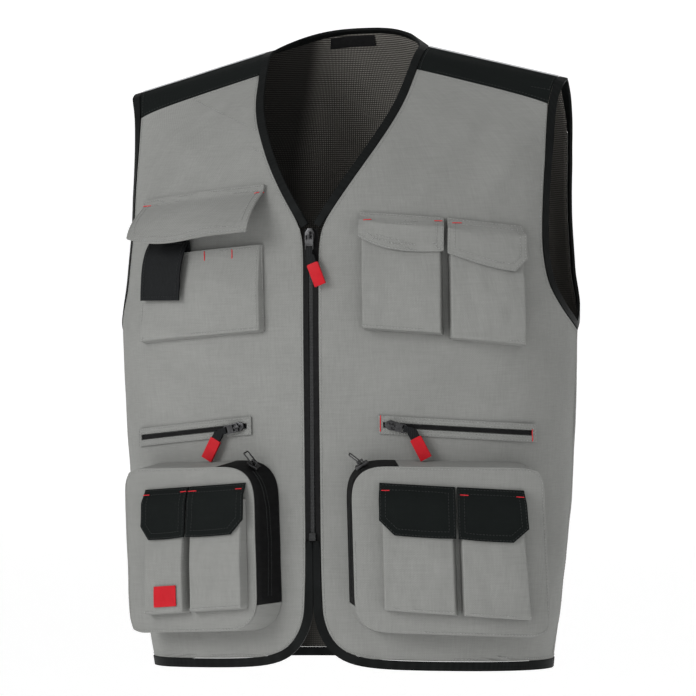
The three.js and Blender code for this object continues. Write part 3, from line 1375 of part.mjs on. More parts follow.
for (const name of ['right', 'left']) {
  const welt = welts[name];
  const place = weltPlace(welt, WELT_SLIDER_IN / welt.width, 0);
  const toNose = alongRound(place.s, place.q, FRONT).multiplyScalar(-welt.sign);
  const group = pullGroup(point(place, 2 * SEAT_GAP + WELT_CLOTH), toNose, outward(place.s, place.q, FRONT), 0);
  add('welt_slider_' + name, sliderBody(), 'metal', group.frame);
  add('welt_tab_' + name, tabBody(), 'metal', group.pivot);
  add('welt_tag_' + name, tagBody(-welt.sign * WELT_TAG_TURN[name]), 'red', group.pivot);
}

// Cargo zips: a slider near the top end of the zipped wall, with a wire loop
const CARGO_PULLS = { right: { stop: 9, angle: 2.7 }, left: { stop: 9, angle: 1.2 } };
for (const name of ['right', 'left']) {
  const { stop, angle } = CARGO_PULLS[name];
  const walls = cargoWalls[name];
  const middle = (i) => walls[i][0].clone().lerp(walls[i][1], 0.5);
  const along = middle(stop + 1).sub(middle(stop - 1));
  const across = walls[stop][1].clone().sub(walls[stop][0]);
  const off = along.clone().cross(across).multiplyScalar(-cargos[name].sign).normalize();
  const origin = middle(stop).addScaledVector(off, SLIDER_SEAT);
  const group = pullGroup(origin, along, off, angle);
  add('cargo_slider_' + name, sliderBody(), 'metal', group.frame);
  add('cargo_loop_' + name, loopBody(), 'metal', group.pivot);
}

export default vest;
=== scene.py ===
import math

import bmesh
import bpy
from mathutils import Matrix, Vector, noise
from mathutils.bvhtree import BVHTree


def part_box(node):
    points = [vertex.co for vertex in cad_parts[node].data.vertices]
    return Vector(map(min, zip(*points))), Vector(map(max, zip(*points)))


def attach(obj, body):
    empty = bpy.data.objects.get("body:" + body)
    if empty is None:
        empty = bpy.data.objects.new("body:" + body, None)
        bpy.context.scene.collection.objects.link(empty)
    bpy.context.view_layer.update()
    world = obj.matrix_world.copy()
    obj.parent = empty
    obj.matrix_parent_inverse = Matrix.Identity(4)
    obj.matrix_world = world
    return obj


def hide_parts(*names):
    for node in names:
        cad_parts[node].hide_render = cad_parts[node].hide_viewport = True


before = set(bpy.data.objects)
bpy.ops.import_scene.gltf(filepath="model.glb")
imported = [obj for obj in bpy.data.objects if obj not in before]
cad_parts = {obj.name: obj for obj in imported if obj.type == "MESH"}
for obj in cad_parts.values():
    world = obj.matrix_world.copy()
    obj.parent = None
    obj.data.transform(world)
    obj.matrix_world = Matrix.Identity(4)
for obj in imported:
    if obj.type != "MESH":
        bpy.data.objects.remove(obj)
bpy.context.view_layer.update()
scene = bpy.context.scene

# Camera: level with the vest's middle and turned a little to the wearer's left, as the photograph is taken.
CAMERA_AWAY = 3.7
CAMERA_TURN = math.radians(17)
CAMERA_TILT = math.radians(0.85)
CAMERA_HEIGHT = -0.325
PHOTO_PIXELS = 696
PHOTO_WIDTH = 0.75168
PHOTO_CENTRE = (347, 348)
SENSOR = 36

camera_data = bpy.data.cameras.new("camera")
camera_data.sensor_width = SENSOR
camera_data.lens = SENSOR * CAMERA_AWAY / PHOTO_WIDTH
camera = bpy.data.objects.new("camera", camera_data)
scene.collection.objects.link(camera)
scene.camera = camera
back_dir = Vector((math.sin(CAMERA_TURN), -math.cos(CAMERA_TURN), 0))
level_right = Vector((math.cos(CAMERA_TURN), math.sin(CAMERA_TURN), 0))
camera_right = level_right * math.cos(CAMERA_TILT) - Vector((0, 0, 1)) * math.sin(CAMERA_TILT)
camera_up = back_dir.cross(camera_right)
camera_place = Vector((0, 0, CAMERA_HEIGHT)) + back_dir * CAMERA_AWAY
camera_axes = Matrix((camera_right, camera_up, back_dir)).transposed()
camera.matrix_world = Matrix.Translation(camera_place) @ camera_axes.to_4x4()


def photo_ray(px, py):
    """The line of sight through a pixel of the photograph."""
    scale = PHOTO_WIDTH / PHOTO_PIXELS
    aim = (camera_right * (px - PHOTO_CENTRE[0]) * scale - camera_up * (py - PHOTO_CENTRE[1]) * scale
           - back_dir * CAMERA_AWAY)
    return camera_place, aim.normalized()


# Studio: a pale floor well below the held-up vest, a pale backdrop, and wide soft lights.
FLOOR_Z = -1.25
PALE = (0.93, 0.93, 0.93, 1)


class Wire:
    """A socket of a material, so that expressions on it add Math nodes."""

    def __init__(self, finish, socket):
        self.finish = finish
        self.socket = socket

    def math(self, operation, *values):
        return self.finish.node("ShaderNodeMath", {"operation": operation}, **{
            str(i): value for i, value in enumerate((self,) + values)})

    def __add__(self, other):
        return self.math("ADD", other)

    def __mul__(self, other):
        return self.math("MULTIPLY", other)

    def __sub__(self, other):
        return self.math("SUBTRACT", other)

    def __rsub__(self, other):
        return (self * -1) + other

    __radd__ = __add__
    __rmul__ = __mul__


class Finish:
    """A material with one Principled shader."""

    def __init__(self, name, **constants):
        self.material = bpy.data.materials.new(name)
        self.material.use_nodes = True
        self.tree = self.material.node_tree
        self.shader = self.tree.nodes["Principled BSDF"]
        for key, value in constants.items():
            self.shader.inputs[key.replace("_", " ")].default_value = value

    def node(self, kind, settings=None, **inputs):
        made = self.tree.nodes.new(kind)
        for key, value in (settings or {}).items():
            if key == "stops":
                ramp = made.color_ramp.elements
                while len(ramp) < len(value):
                    ramp.new(0.5)
                for element, (position, colour) in zip(ramp, value):
                    element.position = position
                    element.color = colour
            else:
                setattr(made, key, value)
        for key, value in inputs.items():
            socket = made.inputs[int(key) if key.isdigit() else key.replace("_", " ")]
            self.feed(socket, value)
        return Wire(self, made.outputs[0])

    def feed(self, socket, value):
        if isinstance(value, Wire):
            self.tree.links.new(value.socket, socket)
        else:
            socket.default_value = value

    def set(self, **inputs):
        for key, value in inputs.items():
            self.feed(self.shader.inputs[key.replace("_", " ")], value)
        return self

    def mix(self, factor, a, b):
        made = self.tree.nodes.new("ShaderNodeMix")
        made.data_type = "RGBA"
        for socket, value in ((made.inputs[0], factor), (made.inputs[6], a), (made.inputs[7], b)):
            self.feed(socket, value)
        return Wire(self, made.outputs[2])

    def place(self, attribute="cloth"):
        return self.node("ShaderNodeAttribute", {"attribute_name": attribute}).vector()


def vector_output(self):
    return Wire(self.finish, self.socket.node.outputs["Vector"])


def factor_output(self):
    return Wire(self.finish, self.socket.node.outputs["Fac"])


Wire.vector = vector_output
Wire.factor = factor_output

floor_mesh = bpy.data.meshes.new("floor")
REACH = 30
BEND_ROWS = 16
BEND_RADIUS = 6
profile = [(-REACH, FLOOR_Z)] + [
    (REACH + BEND_RADIUS * math.sin(a), FLOOR_Z + BEND_RADIUS * (1 - math.cos(a)))
    for a in (i / BEND_ROWS * math.pi / 2 for i in range(BEND_ROWS + 1))] + [(REACH + BEND_RADIUS, REACH)]
floor_points = [(x, y, z) for y, z in profile for x in (-3 * REACH, 3 * REACH)]
floor_faces = [(2 * i, 2 * i + 1, 2 * i + 3, 2 * i + 2) for i in range(len(profile) - 1)]
floor_mesh.from_pydata(floor_points, [], floor_faces)
floor = bpy.data.objects.new("floor", floor_mesh)
scene.collection.objects.link(floor)
FLOOR_GLOW = 0.45
floor_finish = Finish("floor_pale", Base_Color=PALE, Roughness=0.9, Emission_Color=PALE,
                      Emission_Strength=FLOOR_GLOW)
floor_mesh.materials.append(floor_finish.material)

scene.view_settings.view_transform = "Standard"
world = bpy.data.worlds.new("world")
scene.world = world
world.use_nodes = True
world.node_tree.nodes["Background"].inputs["Color"].default_value = (1, 1, 1, 1)
world.node_tree.nodes["Background"].inputs["Strength"].default_value = 0.5
for label, place, size, watts in (
        ("key", (-1.7, -2.7, 0.8), 1.5, 64), ("fill", (2.4, -2.2, 0.3), 2.4, 14),
        ("top", (0, -0.4, 2.4), 2.0, 10), ("back", (0.5, 2.8, 0.8), 2.6, 40)):
    light = bpy.data.lights.new(label, "AREA")
    light.size = size
    light.energy = watts
    lamp = bpy.data.objects.new(label, light)
    scene.collection.objects.link(lamp)
    lamp.location = place
    lamp.rotation_euler = (Vector((0, 0, -0.3)) - Vector(place)).to_track_quat("-Z", "Y").to_euler()


# Body panels: two fronts and a back of mid-grey cotton canvas. Each is a single layer, turned and
# sewn into its binding, and it hangs in soft drags from the shoulders and the full pockets.
HALF_WIDE = 0.25
HALF_DEEP = 0.12


def outward(p):
    """Away from the body at a point of the vest."""
    return Vector((p.x / HALF_WIDE ** 2, p.y / HALF_DEEP ** 2, 0)).normalized()


# Drags of the cloth, front then back: ends across and up, then half width and height, in metres.
DRAGS = [
    {"side": -1, "from": (0.17, -0.06), "to": (0.10, -0.185), "wide": 0.016, "high": 0.0035},
    {"side": -1, "from": (0.215, -0.10), "to": (0.17, -0.18), "wide": 0.012, "high": 0.0025},
    {"side": -1, "from": (-0.20, -0.08), "to": (-0.10, -0.15), "wide": 0.015, "high": 0.0025},
    {"side": -1, "from": (-0.09, -0.04), "to": (-0.075, -0.15), "wide": 0.012, "high": 0.002},
    {"side": -1, "from": (0.22, -0.30), "to": (0.06, -0.36), "wide": 0.018, "high": 0.004},
    {"side": -1, "from": (0.20, -0.37), "to": (0.03, -0.34), "wide": 0.012, "high": 0.002},
    {"side": -1, "from": (-0.23, -0.29), "to": (-0.06, -0.35), "wide": 0.016, "high": 0.0035},
    {"side": -1, "from": (-0.22, -0.36), "to": (-0.10, -0.38), "wide": 0.01, "high": 0.002},
    {"side": -1, "from": (0.02, -0.40), "to": (0.03, -0.56), "wide": 0.01, "high": 0.002},
    {"side": -1, "from": (-0.03, -0.36), "to": (-0.02, -0.52), "wide": 0.01, "high": 0.002},
    {"side": 1, "from": (-0.19, -0.10), "to": (-0.07, -0.24), "wide": 0.018, "high": 0.003},
    {"side": 1, "from": (0.19, -0.10), "to": (0.07, -0.24), "wide": 0.018, "high": 0.003},
    {"side": 1, "from": (0.21, -0.31), "to": (0.03, -0.38), "wide": 0.02, "high": 0.004},
    {"side": 1, "from": (-0.21, -0.33), "to": (-0.04, -0.42), "wide": 0.02, "high": 0.004},
    {"side": 1, "from": (0.12, -0.45), "to": (0.14, -0.66), "wide": 0.022, "high": 0.005},
    {"side": 1, "from": (-0.10, -0.47), "to": (-0.13, -0.66), "wide": 0.022, "high": 0.005},
    {"side": 1, "from": (0.01, -0.14), "to": (-0.01, -0.3), "wide": 0.014, "high": 0.002},
]


SLOW_DRAG = 0.0019
FAST_DRAG = 0.0007


def body_drag(p):
    """How far the body's cloth stands out at a point, the same for every piece that lies there."""
    side = -1 if p.y < 0 else 1
    lift = 0.0
    for drag in DRAGS:
        if drag["side"] != side:
            continue
        a = Vector(drag["from"])
        run = Vector(drag["to"]) - a
        here = Vector((p.x, p.z)) - a
        along = min(1.0, max(0.0, here.dot(run) / run.length_squared))
        away = (here - run * along).length / drag["wide"]
        if away < 3:
            lift += drag["high"] * math.exp(-away * away) * math.sin(math.pi * min(0.95, max(0.05, along)))
    slow = noise.noise(Vector((p.x * 14, p.y * 6 + side * 3, p.z * 9)))
    fast = noise.noise(Vector((p.x * 46, p.y * 20 + side * 7, p.z * 30)))
    calm = min(1.0, abs(p.x) / 0.06) if side < 0 else 1.0
    top = min(1.0, max(0.0, (-0.01 - p.z) / 0.05))
    return (lift + SLOW_DRAG * slow + FAST_DRAG * fast) * calm * top


WELD = 0.00002
CREASE_ANGLE = math.radians(38)
SHARP_ANGLE = math.radians(42)


def face_width(face):
    """About how wide a face is, across its longest edge."""
    return face.calc_area() / max(edge.calc_length() for edge in face.edges)


def cloth_mesh(node, levels, lift=None, fold_crease=0.8, rim=0.0028):
    """The node's cloth as a fine mesh: paired into quads, its cut edges kept sharp, and smoothed."""
    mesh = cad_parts[node].data.copy()
    mesh.materials.clear()
    work = bmesh.new()
    work.from_mesh(mesh)
    bmesh.ops.remove_doubles(work, verts=work.verts, dist=WELD)
    bmesh.ops.join_triangles(work, faces=work.faces, cmp_seam=False, cmp_sharp=False, cmp_uvs=False,
                             angle_face_threshold=math.radians(35), angle_shape_threshold=math.radians(70))
    crease = work.edges.layers.float.get("crease_edge") or work.edges.layers.float.new("crease_edge")
    for edge in work.edges:
        if len(edge.link_faces) == 2 and edge.calc_face_angle(0) > CREASE_ANGLE:
            narrow = min(face_width(face) for face in edge.link_faces)
            edge[crease] = 1.0 if narrow < rim else fold_crease
    work.to_mesh(mesh)
    work.free()
    piece = bpy.data.objects.new("work", mesh)
    scene.collection.objects.link(piece)
    smooth = piece.modifiers.new("smooth", "SUBSURF")
    smooth.levels = levels
    smooth.render_levels = levels
    smooth.boundary_smooth = "PRESERVE_CORNERS"
    fine = bpy.data.meshes.new_from_object(piece.evaluated_get(bpy.context.evaluated_depsgraph_get()))
    bpy.data.objects.remove(piece)
    if lift:
        for vertex in fine.vertices:
            vertex.co += outward(vertex.co) * lift(vertex.co)
    for polygon in fine.polygons:
        polygon.use_smooth = True
    sharp = fine.attributes.get("crease_edge")
    if sharp:
        fine.attributes.remove(sharp)
    fine.set_sharp_from_angle(angle=SHARP_ANGLE)
    return fine


MIDDLE = 0.02
ROUND_SCALE = 0.19
DEPTH_SCALE = 0.5


def lay_weave(mesh):
    """Where each point lies on the cloth, round the body and up, for the weave of the finishes.
    Pieces that cross the middle of the back are measured from there, and the others from the front."""
    place = mesh.attributes.new("cloth", "FLOAT_VECTOR", "POINT")
    behind = any(abs(v.co.x) < MIDDLE and v.co.y > 0 for v in mesh.vertices)
    for i, vertex in enumerate(mesh.vertices):
        p = vertex.co
        angle = math.atan2(p.x / HALF_WIDE, p.y / HALF_DEEP if behind else -p.y / HALF_DEEP)
        place.data[i].vector = (ROUND_SCALE * angle, p.z, DEPTH_SCALE * p.y)


def sew(name, mesh, finish, nodes, body="vest"):
    """Puts a finished piece of the vest on its body, in place of its plain solids."""
    if "cloth" not in mesh.attributes:
        lay_weave(mesh)
    mesh.materials.clear()
    mesh.materials.append(finish.material)
    piece = bpy.data.objects.new(name, mesh)
    scene.collection.objects.link(piece)
    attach(piece, body)
    if nodes:
        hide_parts(*nodes)
    return piece


WEFT_RUN = (60, 900, 60)
WARP_RUN = (900, 60, 60)


def canvas(name, colour, light, roughness, weave=0.22, nap=0.5, gloss=0.16):
    """A twill canvas: a slow cloud of shades, slubs along both threads, a fine diagonal, and creases."""
    finish = Finish(name, Roughness=roughness, Specular_IOR_Level=gloss)
    cloth = finish.place()
    cloud = finish.node("ShaderNodeTexNoise", Vector=cloth, Scale=9.0, Detail=4.0, Roughness=0.6)
    stretch = {"operation": "MULTIPLY"}
    across = finish.node("ShaderNodeVectorMath", stretch, **{"0": cloth, "1": WEFT_RUN})
    upward = finish.node("ShaderNodeVectorMath", stretch, **{"0": cloth, "1": WARP_RUN})
    weft = finish.node("ShaderNodeTexNoise", Vector=across, Scale=1.0, Detail=2.0)
    warp = finish.node("ShaderNodeTexNoise", Vector=upward, Scale=1.0, Detail=2.0)
    twill = finish.node("ShaderNodeTexWave", {"bands_direction": "DIAGONAL"}, Vector=cloth, Scale=330.0,
                        Distortion=1.2, Detail=1.0, Detail_Scale=2.0)
    crumple = finish.node("ShaderNodeTexNoise", Vector=cloth, Scale=34.0, Detail=5.0, Roughness=0.55)
    shade = cloud * 0.45 + weft * 0.3 + warp * 0.3 + twill.factor() * 0.14 - 0.1
    colours = finish.mix(shade, colour, light)
    height = weft * 0.35 + warp * 0.35 + twill.factor() * weave + crumple * 2.2 * nap
    bump = finish.node("ShaderNodeBump", Strength=0.32, Distance=0.0011, Height=height)
    return finish.set(Base_Color=colours, Normal=bump)


grey_canvas = canvas("grey_canvas", (0.126, 0.128, 0.122, 1), (0.262, 0.265, 0.254, 1), 0.86)
for node in ("front_panel_right", "front_panel_left", "back_panel"):
    sew("canvas_" + node, cloth_mesh(node, 3, body_drag), grey_canvas, [node])

# Yokes: black polyester canvas over both shoulders and across the top of the back.
black_canvas = canvas("black_canvas", (0.0028, 0.0036, 0.0036, 1), (0.0085, 0.0105, 0.01, 1), 0.7,
                      nap=0.9, gloss=0.05)
for node in ("yoke_right", "yoke_left", "back_yoke"):
    sew("canvas_" + node, cloth_mesh(node, 3, body_drag), black_canvas, [node])

# Lining: an open, brown-black knitted mesh behind the back, seen through the neck and armholes, with painted
# shade on its left side and towards the bottom.
lining = Finish("lining_mesh", Roughness=0.8, Specular_IOR_Level=0.08)
lining_place = lining.place()
DOT_PITCH = 0.0036
split = lining.node("ShaderNodeSeparateXYZ", Vector=lining_place)
lining_round = Wire(lining, split.socket.node.outputs["X"])
lining_up = Wire(lining, split.socket.node.outputs["Y"])


def lattice_wave(along):
    """A wave whose crests cross the lining on one diagonal."""
    return lining.node("ShaderNodeMath", {"operation": "SINE"}, **{"0": along * (2 * math.pi / DOT_PITCH)})


dots = lattice_wave(lining_round + lining_up * 0.8) * lattice_wave(lining_round - lining_up * 0.8)
dot_mask = lining.node("ShaderNodeMapRange", {"interpolation_type": "SMOOTHSTEP"}, Value=dots,
                       From_Min=0.1, From_Max=0.7)
lining_cloud = lining.node("ShaderNodeTexNoise", Vector=lining_place, Scale=12.0, Detail=3.0)
# Painted shade: side_shade darkens the lining's left side to near black where the front panels shade it, and
# low_light dims the light threads towards the bottom.
side_shade = lining.node("ShaderNodeMapRange", {"interpolation_type": "SMOOTHSTEP"}, Value=lining_round,
                         From_Min=-0.08, From_Max=-0.05, To_Min=1.0, To_Max=0.0)
low_light = lining.node("ShaderNodeMapRange", {"interpolation_type": "SMOOTHSTEP"}, Value=lining_up,
                        From_Min=-0.24, From_Max=-0.08, To_Min=0.25, To_Max=1.0)
knit = lining.mix(lining_cloud, (0.026, 0.025, 0.022, 1), (0.055, 0.052, 0.047, 1))
lining_lit = lining.mix(dot_mask * low_light, knit, (0.24, 0.228, 0.21, 1))
lining.set(Base_Color=lining.mix(side_shade * 0.8, lining_lit, (0.004, 0.004, 0.004, 1)),
           Normal=lining.node("ShaderNodeBump", Strength=0.4, Distance=0.0005, Height=dot_mask))
sew("mesh_lining", cloth_mesh("back_lining", 2, body_drag), lining, ["back_lining"])

# Bindings: a black ribbed tape folded over the cut edges of the neck, armholes and hem.
binding_tape = Finish("binding_tape", Roughness=0.62, Specular_IOR_Level=0.06)
tape_place = binding_tape.place()
tape_ribs = binding_tape.node("ShaderNodeTexWave", {"bands_direction": "Z"}, Vector=tape_place, Scale=260.0,
                              Distortion=0.6)
tape_cloud = binding_tape.node("ShaderNodeTexNoise", Vector=tape_place, Scale=60.0, Detail=3.0)
tape_shade = tape_cloud * 0.8 + tape_ribs.factor() * 0.3
tape_colour = binding_tape.mix(tape_shade, (0.002, 0.0024, 0.0024, 1), (0.008, 0.009, 0.009, 1))
binding_tape.set(Base_Color=tape_colour,
                 Normal=binding_tape.node("ShaderNodeBump", Strength=0.35, Distance=0.0006,
                                          Height=tape_shade + tape_cloud * 1.5))
TAPE_CREASE = 0.55
for node in ("neck_binding", "armhole_binding_right", "armhole_binding_left", "hem_binding_right",
             "hem_binding_left", "hem_binding_back"):
    tape_mesh = cloth_mesh(node, 2, body_drag, fold_crease=TAPE_CREASE)
    sew("tape_" + node, tape_mesh, binding_tape, [node])

# Piping: two thin light-grey cords in each shoulder seam.
piping = Finish("grey_piping", Roughness=0.45, Specular_IOR_Level=0.4)
piping_cloud = piping.node("ShaderNodeTexNoise", Vector=piping.place(), Scale=300.0, Detail=2.0)
piping.set(Base_Color=piping.mix(piping_cloud, (0.36, 0.37, 0.38, 1), (0.62, 0.63, 0.64, 1)),
           Normal=piping.node("ShaderNodeBump", Strength=0.3, Distance=0.0004, Height=piping_cloud))
for side in ("right", "left"):
    node = "shoulder_piping_" + side
    sew("cord_" + node, cloth_mesh(node, 2, None, fold_crease=0.2), piping, [node])

# Seam threads: rows of lock stitches, each stitch a small raised lozenge of grey or black thread.
STITCH = 0.0024
PITCH = 0.0034
THREAD = 0.00042
STITCH_SUNK = 0.35
STITCH_REACH = 0.006


def border_loops(node):
    """The outer cut edge of a cloth piece, as closed loops of points with the way into the cloth."""
    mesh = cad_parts[node].data
    work = bmesh.new()
    work.from_mesh(mesh)
    bmesh.ops.remove_doubles(work, verts=work.verts, dist=WELD)
    links = {}
    for edge in work.edges:
        if len(edge.link_faces) != 2 or edge.calc_face_angle(0) < math.radians(50):
            continue
        wide = max(edge.link_faces, key=face_width)
        middle = (edge.verts[0].co + edge.verts[1].co) / 2
        away = outward(middle)
        facing = wide.normal.dot(away)
        if facing < 0.25 and not (middle.z > -0.06 and wide.normal.z > 0.3):
            continue
        into = (wide.calc_center_median() - middle)
        along = (edge.verts[1].co - edge.verts[0].co).normalized()
        into = (into - along * into.dot(along)).normalized()
        for a, b in (edge.verts, reversed(edge.verts)):
            links.setdefault(a.index, []).append((b.index, into, wide.normal.copy()))
    places = {v.index: v.co.copy() for v in work.verts}
    work.free()
    loops = []
    left = dict(links)
    while left:
        start = next(iter(left))
        loop = [start]
        here = start
        while here in left:
            steps = left.pop(here)
            ahead = [b for b, _, _ in steps if b in left]
            if not ahead:
                break
            here = ahead[0]
            loop.append(here)
        if len(loop) > 3:
            loops.append([(places[i], links[i]) for i in loop])
    return loops


def inset_line(loop, distance):
    """A closed line inside a border, as far from it as the seam allowance."""
    points = []
    for place, steps in loop:
        ways = [into for _, into, _ in steps]
        way = sum(ways, Vector())
        if way.length < 0.2:
            continue
        way.normalize()
        reach = distance / max(0.45, sum(way.dot(w) for w in ways) / len(ways))
        points.append(place + way * reach)
    return points


def tree_of(piece):
    mesh = piece.data
    return BVHTree.FromPolygons([v.co for v in mesh.vertices], [p.vertices for p in mesh.polygons])


def walk(points, pitch, closed=True):
    """Evenly spaced places along a line, each with its direction."""
    line = points + points[:1] if closed else points
    spent = 0.0
    for a, b in zip(line, line[1:]):
        length = (b - a).length
        if length < 1e-6:
            continue
        while spent < length:
            yield a.lerp(b, spent / length), (b - a) / length
            spent += pitch
        spent -= length


def add_stitches(work, tree, points, closed=True, keep=None, size=STITCH, pitch=PITCH, thick=THREAD):
    """Adds a row of stitches to the mesh being made, lying on a piece."""
    for place, along in walk(points, pitch, closed):
        if keep and not keep(place):
            continue
        hit, normal, _, away = tree.find_nearest(place)
        if hit is None or away > STITCH_REACH:
            continue
        if normal.dot(outward(hit)) < -0.2:
            continue
        side = normal.cross(along).normalized() * thick
        up = normal * thick
        ends = (hit - along * size / 2, hit + along * size / 2)
        ring = []
        for f in (0.0, 0.22, 0.78, 1.0):
            centre = ends[0].lerp(ends[1], f)
            grow = 1.0 if 0.1 < f < 0.9 else 0.35
            ring.append([
                work.verts.new(centre + side * (math.cos(a) * grow) + up * (STITCH_SUNK + math.sin(a) * grow))
                for a in (0, math.pi / 3, 2 * math.pi / 3, math.pi)])
        for low, high in zip(ring, ring[1:]):
            for i in range(3):
                work.faces.new((low[i], high[i], high[i + 1], low[i + 1]))
            work.faces.new((low[3], high[3], high[0], low[0]))
        work.faces.new(ring[0])
        work.faces.new(list(reversed(ring[-1])))


def thread_piece(name, work, finish, body="vest"):
    mesh = bpy.data.meshes.new(name)
    bmesh.ops.recalc_face_normals(work, faces=work.faces)
    work.to_mesh(mesh)
    work.free()
    for polygon in mesh.polygons:
        polygon.use_smooth = True
    return sew(name, mesh, finish, [], body)


def thread(name, dark, light):
    finish = Finish(name, Roughness=0.55, Specular_IOR_Level=0.12)
    twist = finish.node("ShaderNodeTexNoise", Vector=finish.place(), Scale=700.0, Detail=2.0)
    return finish.set(Base_Color=finish.mix(twist, dark, light))


grey_thread = thread("grey_thread", (0.17, 0.172, 0.166, 1), (0.33, 0.333, 0.322, 1))
black_thread = thread("black_thread", (0.008, 0.009, 0.009, 1), (0.03, 0.032, 0.032, 1))
red_thread = thread("red_thread", (0.42, 0.012, 0.02, 1), (0.72, 0.035, 0.045, 1))


def topstitch(name, node, insets, finish, keep=None):
    """Topstitching round a piece, on one or more lines."""
    piece = bpy.data.objects["canvas_" + node]
    tree = tree_of(piece)
    work = bmesh.new()
    for loop in border_loops(node):
        for distance in insets:
            add_stitches(work, tree, inset_line(loop, distance), keep=keep)
    return thread_piece(name, work, finish)


for node in ("front_panel_right", "front_panel_left", "back_panel"):
    topstitch("seam_" + node, node, (0.0022,), grey_thread)
for node in ("yoke_right", "yoke_left", "back_yoke"):
    topstitch("seam_" + node, node, (0.0024,), black_thread)


# Chest pockets: patch pockets with bellows sides, of the body's canvas, under double-layered flaps.
def local_drag(node, amount, seed):
    """Small soft dents of a pocket or flap, over those of the body below it."""
    low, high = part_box(node)

    def lift(p):
        u = (p.x - low.x) / (high.x - low.x)
        v = (p.z - low.z) / (high.z - low.z)
        inside = max(0.0, min(1.0, 6 * min(u, 1 - u, v, 1 - v) + 0.15))
        a = noise.noise(Vector((u * 2.3 + seed, v * 2.6, seed)))
        b = noise.noise(Vector((u * 6.1 + seed, v * 5.2, seed + 5)))
        return body_drag(p) + amount * inside * (a + 0.45 * b)

    return lift


def pocket_piece(node, finish, amount, seed, levels=3):
    mesh = cloth_mesh(node, levels, local_drag(node, amount, seed))
    return sew("canvas_" + node, mesh, finish, [node])


for node, seed in (("chest_pocket_first", 1.3), ("chest_pocket_second", 2.9), ("chest_pocket_right", 4.1)):
    pocket_piece(node, grey_canvas, 0.0022, seed)
    topstitch("seam_" + node, node, (0.0025,), grey_thread)
for node, seed in (("chest_flap_first", 5.3), ("chest_flap_second", 6.9), ("chest_flap_right", 8.1)):
    pocket_piece(node, grey_canvas, 0.0012, seed)
    topstitch("seam_" + node, node, (0.0018, 0.0075), grey_thread)

# Phone strap: a wide black webbing that hangs over the mouth of the right chest pocket.
webbing = Finish("black_webbing", Roughness=0.6, Specular_IOR_Level=0.08)
webbing_place = webbing.place()
webbing_ribs = webbing.node("ShaderNodeTexWave", {"bands_direction": "X"}, Vector=webbing_place,
                            Scale=210.0, Distortion=0.4)
webbing_cloud = webbing.node("ShaderNodeTexNoise", Vector=webbing_place, Scale=500.0, Detail=2.0)
webbing_shade = webbing_ribs.factor() * 0.5 + webbing_cloud * 0.5
webbing.set(Base_Color=webbing.mix(webbing_shade, (0.003, 0.0034, 0.0036, 1), (0.012, 0.013, 0.014, 1)),
            Normal=webbing.node("ShaderNodeBump", Strength=0.5, Distance=0.0006, Height=webbing_shade))
sew("canvas_phone_strap", cloth_mesh("phone_strap", 3, local_drag("phone_strap", 0.0008, 3.3)), webbing,
    ["phone_strap"])
topstitch("seam_phone_strap", "phone_strap", (0.004,), black_thread)

# Bellows pockets: a grey front on gusset walls, one of them a black zip wall, with a pair of small
# flapped pockets sewn on the front.
gusset_canvas = canvas("gusset_canvas", (0.12, 0.122, 0.116, 1), (0.262, 0.265, 0.254, 1), 0.86, nap=1.3)
zip_wall = Finish("zip_tape", Roughness=0.6, Specular_IOR_Level=0.07)
zip_place = zip_wall.place()
zip_cloud = zip_wall.node("ShaderNodeTexNoise", Vector=zip_place, Scale=240.0, Detail=3.0)
zip_wall.set(Base_Color=zip_wall.mix(zip_cloud, (0.0025, 0.0025, 0.0026, 1), (0.01, 0.01, 0.0104, 1)),
             Normal=zip_wall.node("ShaderNodeBump", Strength=0.4, Distance=0.0006, Height=zip_cloud))
for side, seed in (("right", 1.7), ("left", 3.7)):
    pocket_piece("cargo_front_" + side, grey_canvas, 0.002, seed)
    topstitch("seam_cargo_front_" + side, "cargo_front_" + side, (0.0022,), grey_thread)
    pocket_piece("cargo_gusset_" + side, gusset_canvas, 0.0012, seed + 2)
    pocket_piece("cargo_zip_" + side, zip_wall, 0.0006, seed + 3, levels=2)
    for place in ("inner", "outer"):
        pocket = f"cargo_pocket_{side}_{place}"
        flap = f"cargo_flap_{side}_{place}"
        seed += 1.9
        pocket_piece(pocket, grey_canvas, 0.0018, seed)
        topstitch("seam_" + pocket, pocket, (0.0022,), grey_thread)
        pocket_piece(flap, black_canvas, 0.001, seed + 4)
        topstitch("seam_" + flap, flap, (0.0018, 0.007), black_thread)

# Welts: canvas frames round the slits of the two inner pockets, with a zip in each.
for side in ("right", "left"):
    sew("canvas_welt_" + side, cloth_mesh("welt_" + side, 2, body_drag), grey_canvas,
        ["welt_" + side])
    topstitch("seam_welt_" + side, "welt_" + side, (0.0014,), grey_thread)
    sew("tape_welt_zip_" + side, cloth_mesh("welt_zip_" + side, 2, body_drag), zip_wall,
        ["welt_zip_" + side])
    sew("tape_zip_" + side, cloth_mesh("zip_tape_" + side, 2, body_drag), zip_wall,
        ["zip_tape_" + side])

# Labels: a bare woven label in the neck, and a bare red square on the right bellows pocket.
sew("label_neck", cloth_mesh("neck_label", 3, None), zip_wall, ["neck_label"])
red_rubber = Finish("red_rubber", Roughness=0.42, Specular_IOR_Level=0.14)
rubber_cloud = red_rubber.node("ShaderNodeTexNoise", Vector=red_rubber.place(), Scale=120.0, Detail=3.0)
red_rubber.set(Base_Color=red_rubber.mix(rubber_cloud, (0.33, 0.004, 0.01, 1), (0.46, 0.008, 0.015, 1)),
               Normal=red_rubber.node("ShaderNodeBump", Strength=0.2, Distance=0.0004, Height=rubber_cloud))
LABEL_PROUD = 0.0005
LABELLED_SEED = 5.5
labelled_drag = local_drag("cargo_pocket_right_outer", 0.0018, LABELLED_SEED)


def label_lift(p):
    """The label lies on the dents of its pocket."""
    return labelled_drag(p) + LABEL_PROUD


sew("label_cargo", cloth_mesh("cargo_label", 3, label_lift), red_rubber,
    ["cargo_label"])

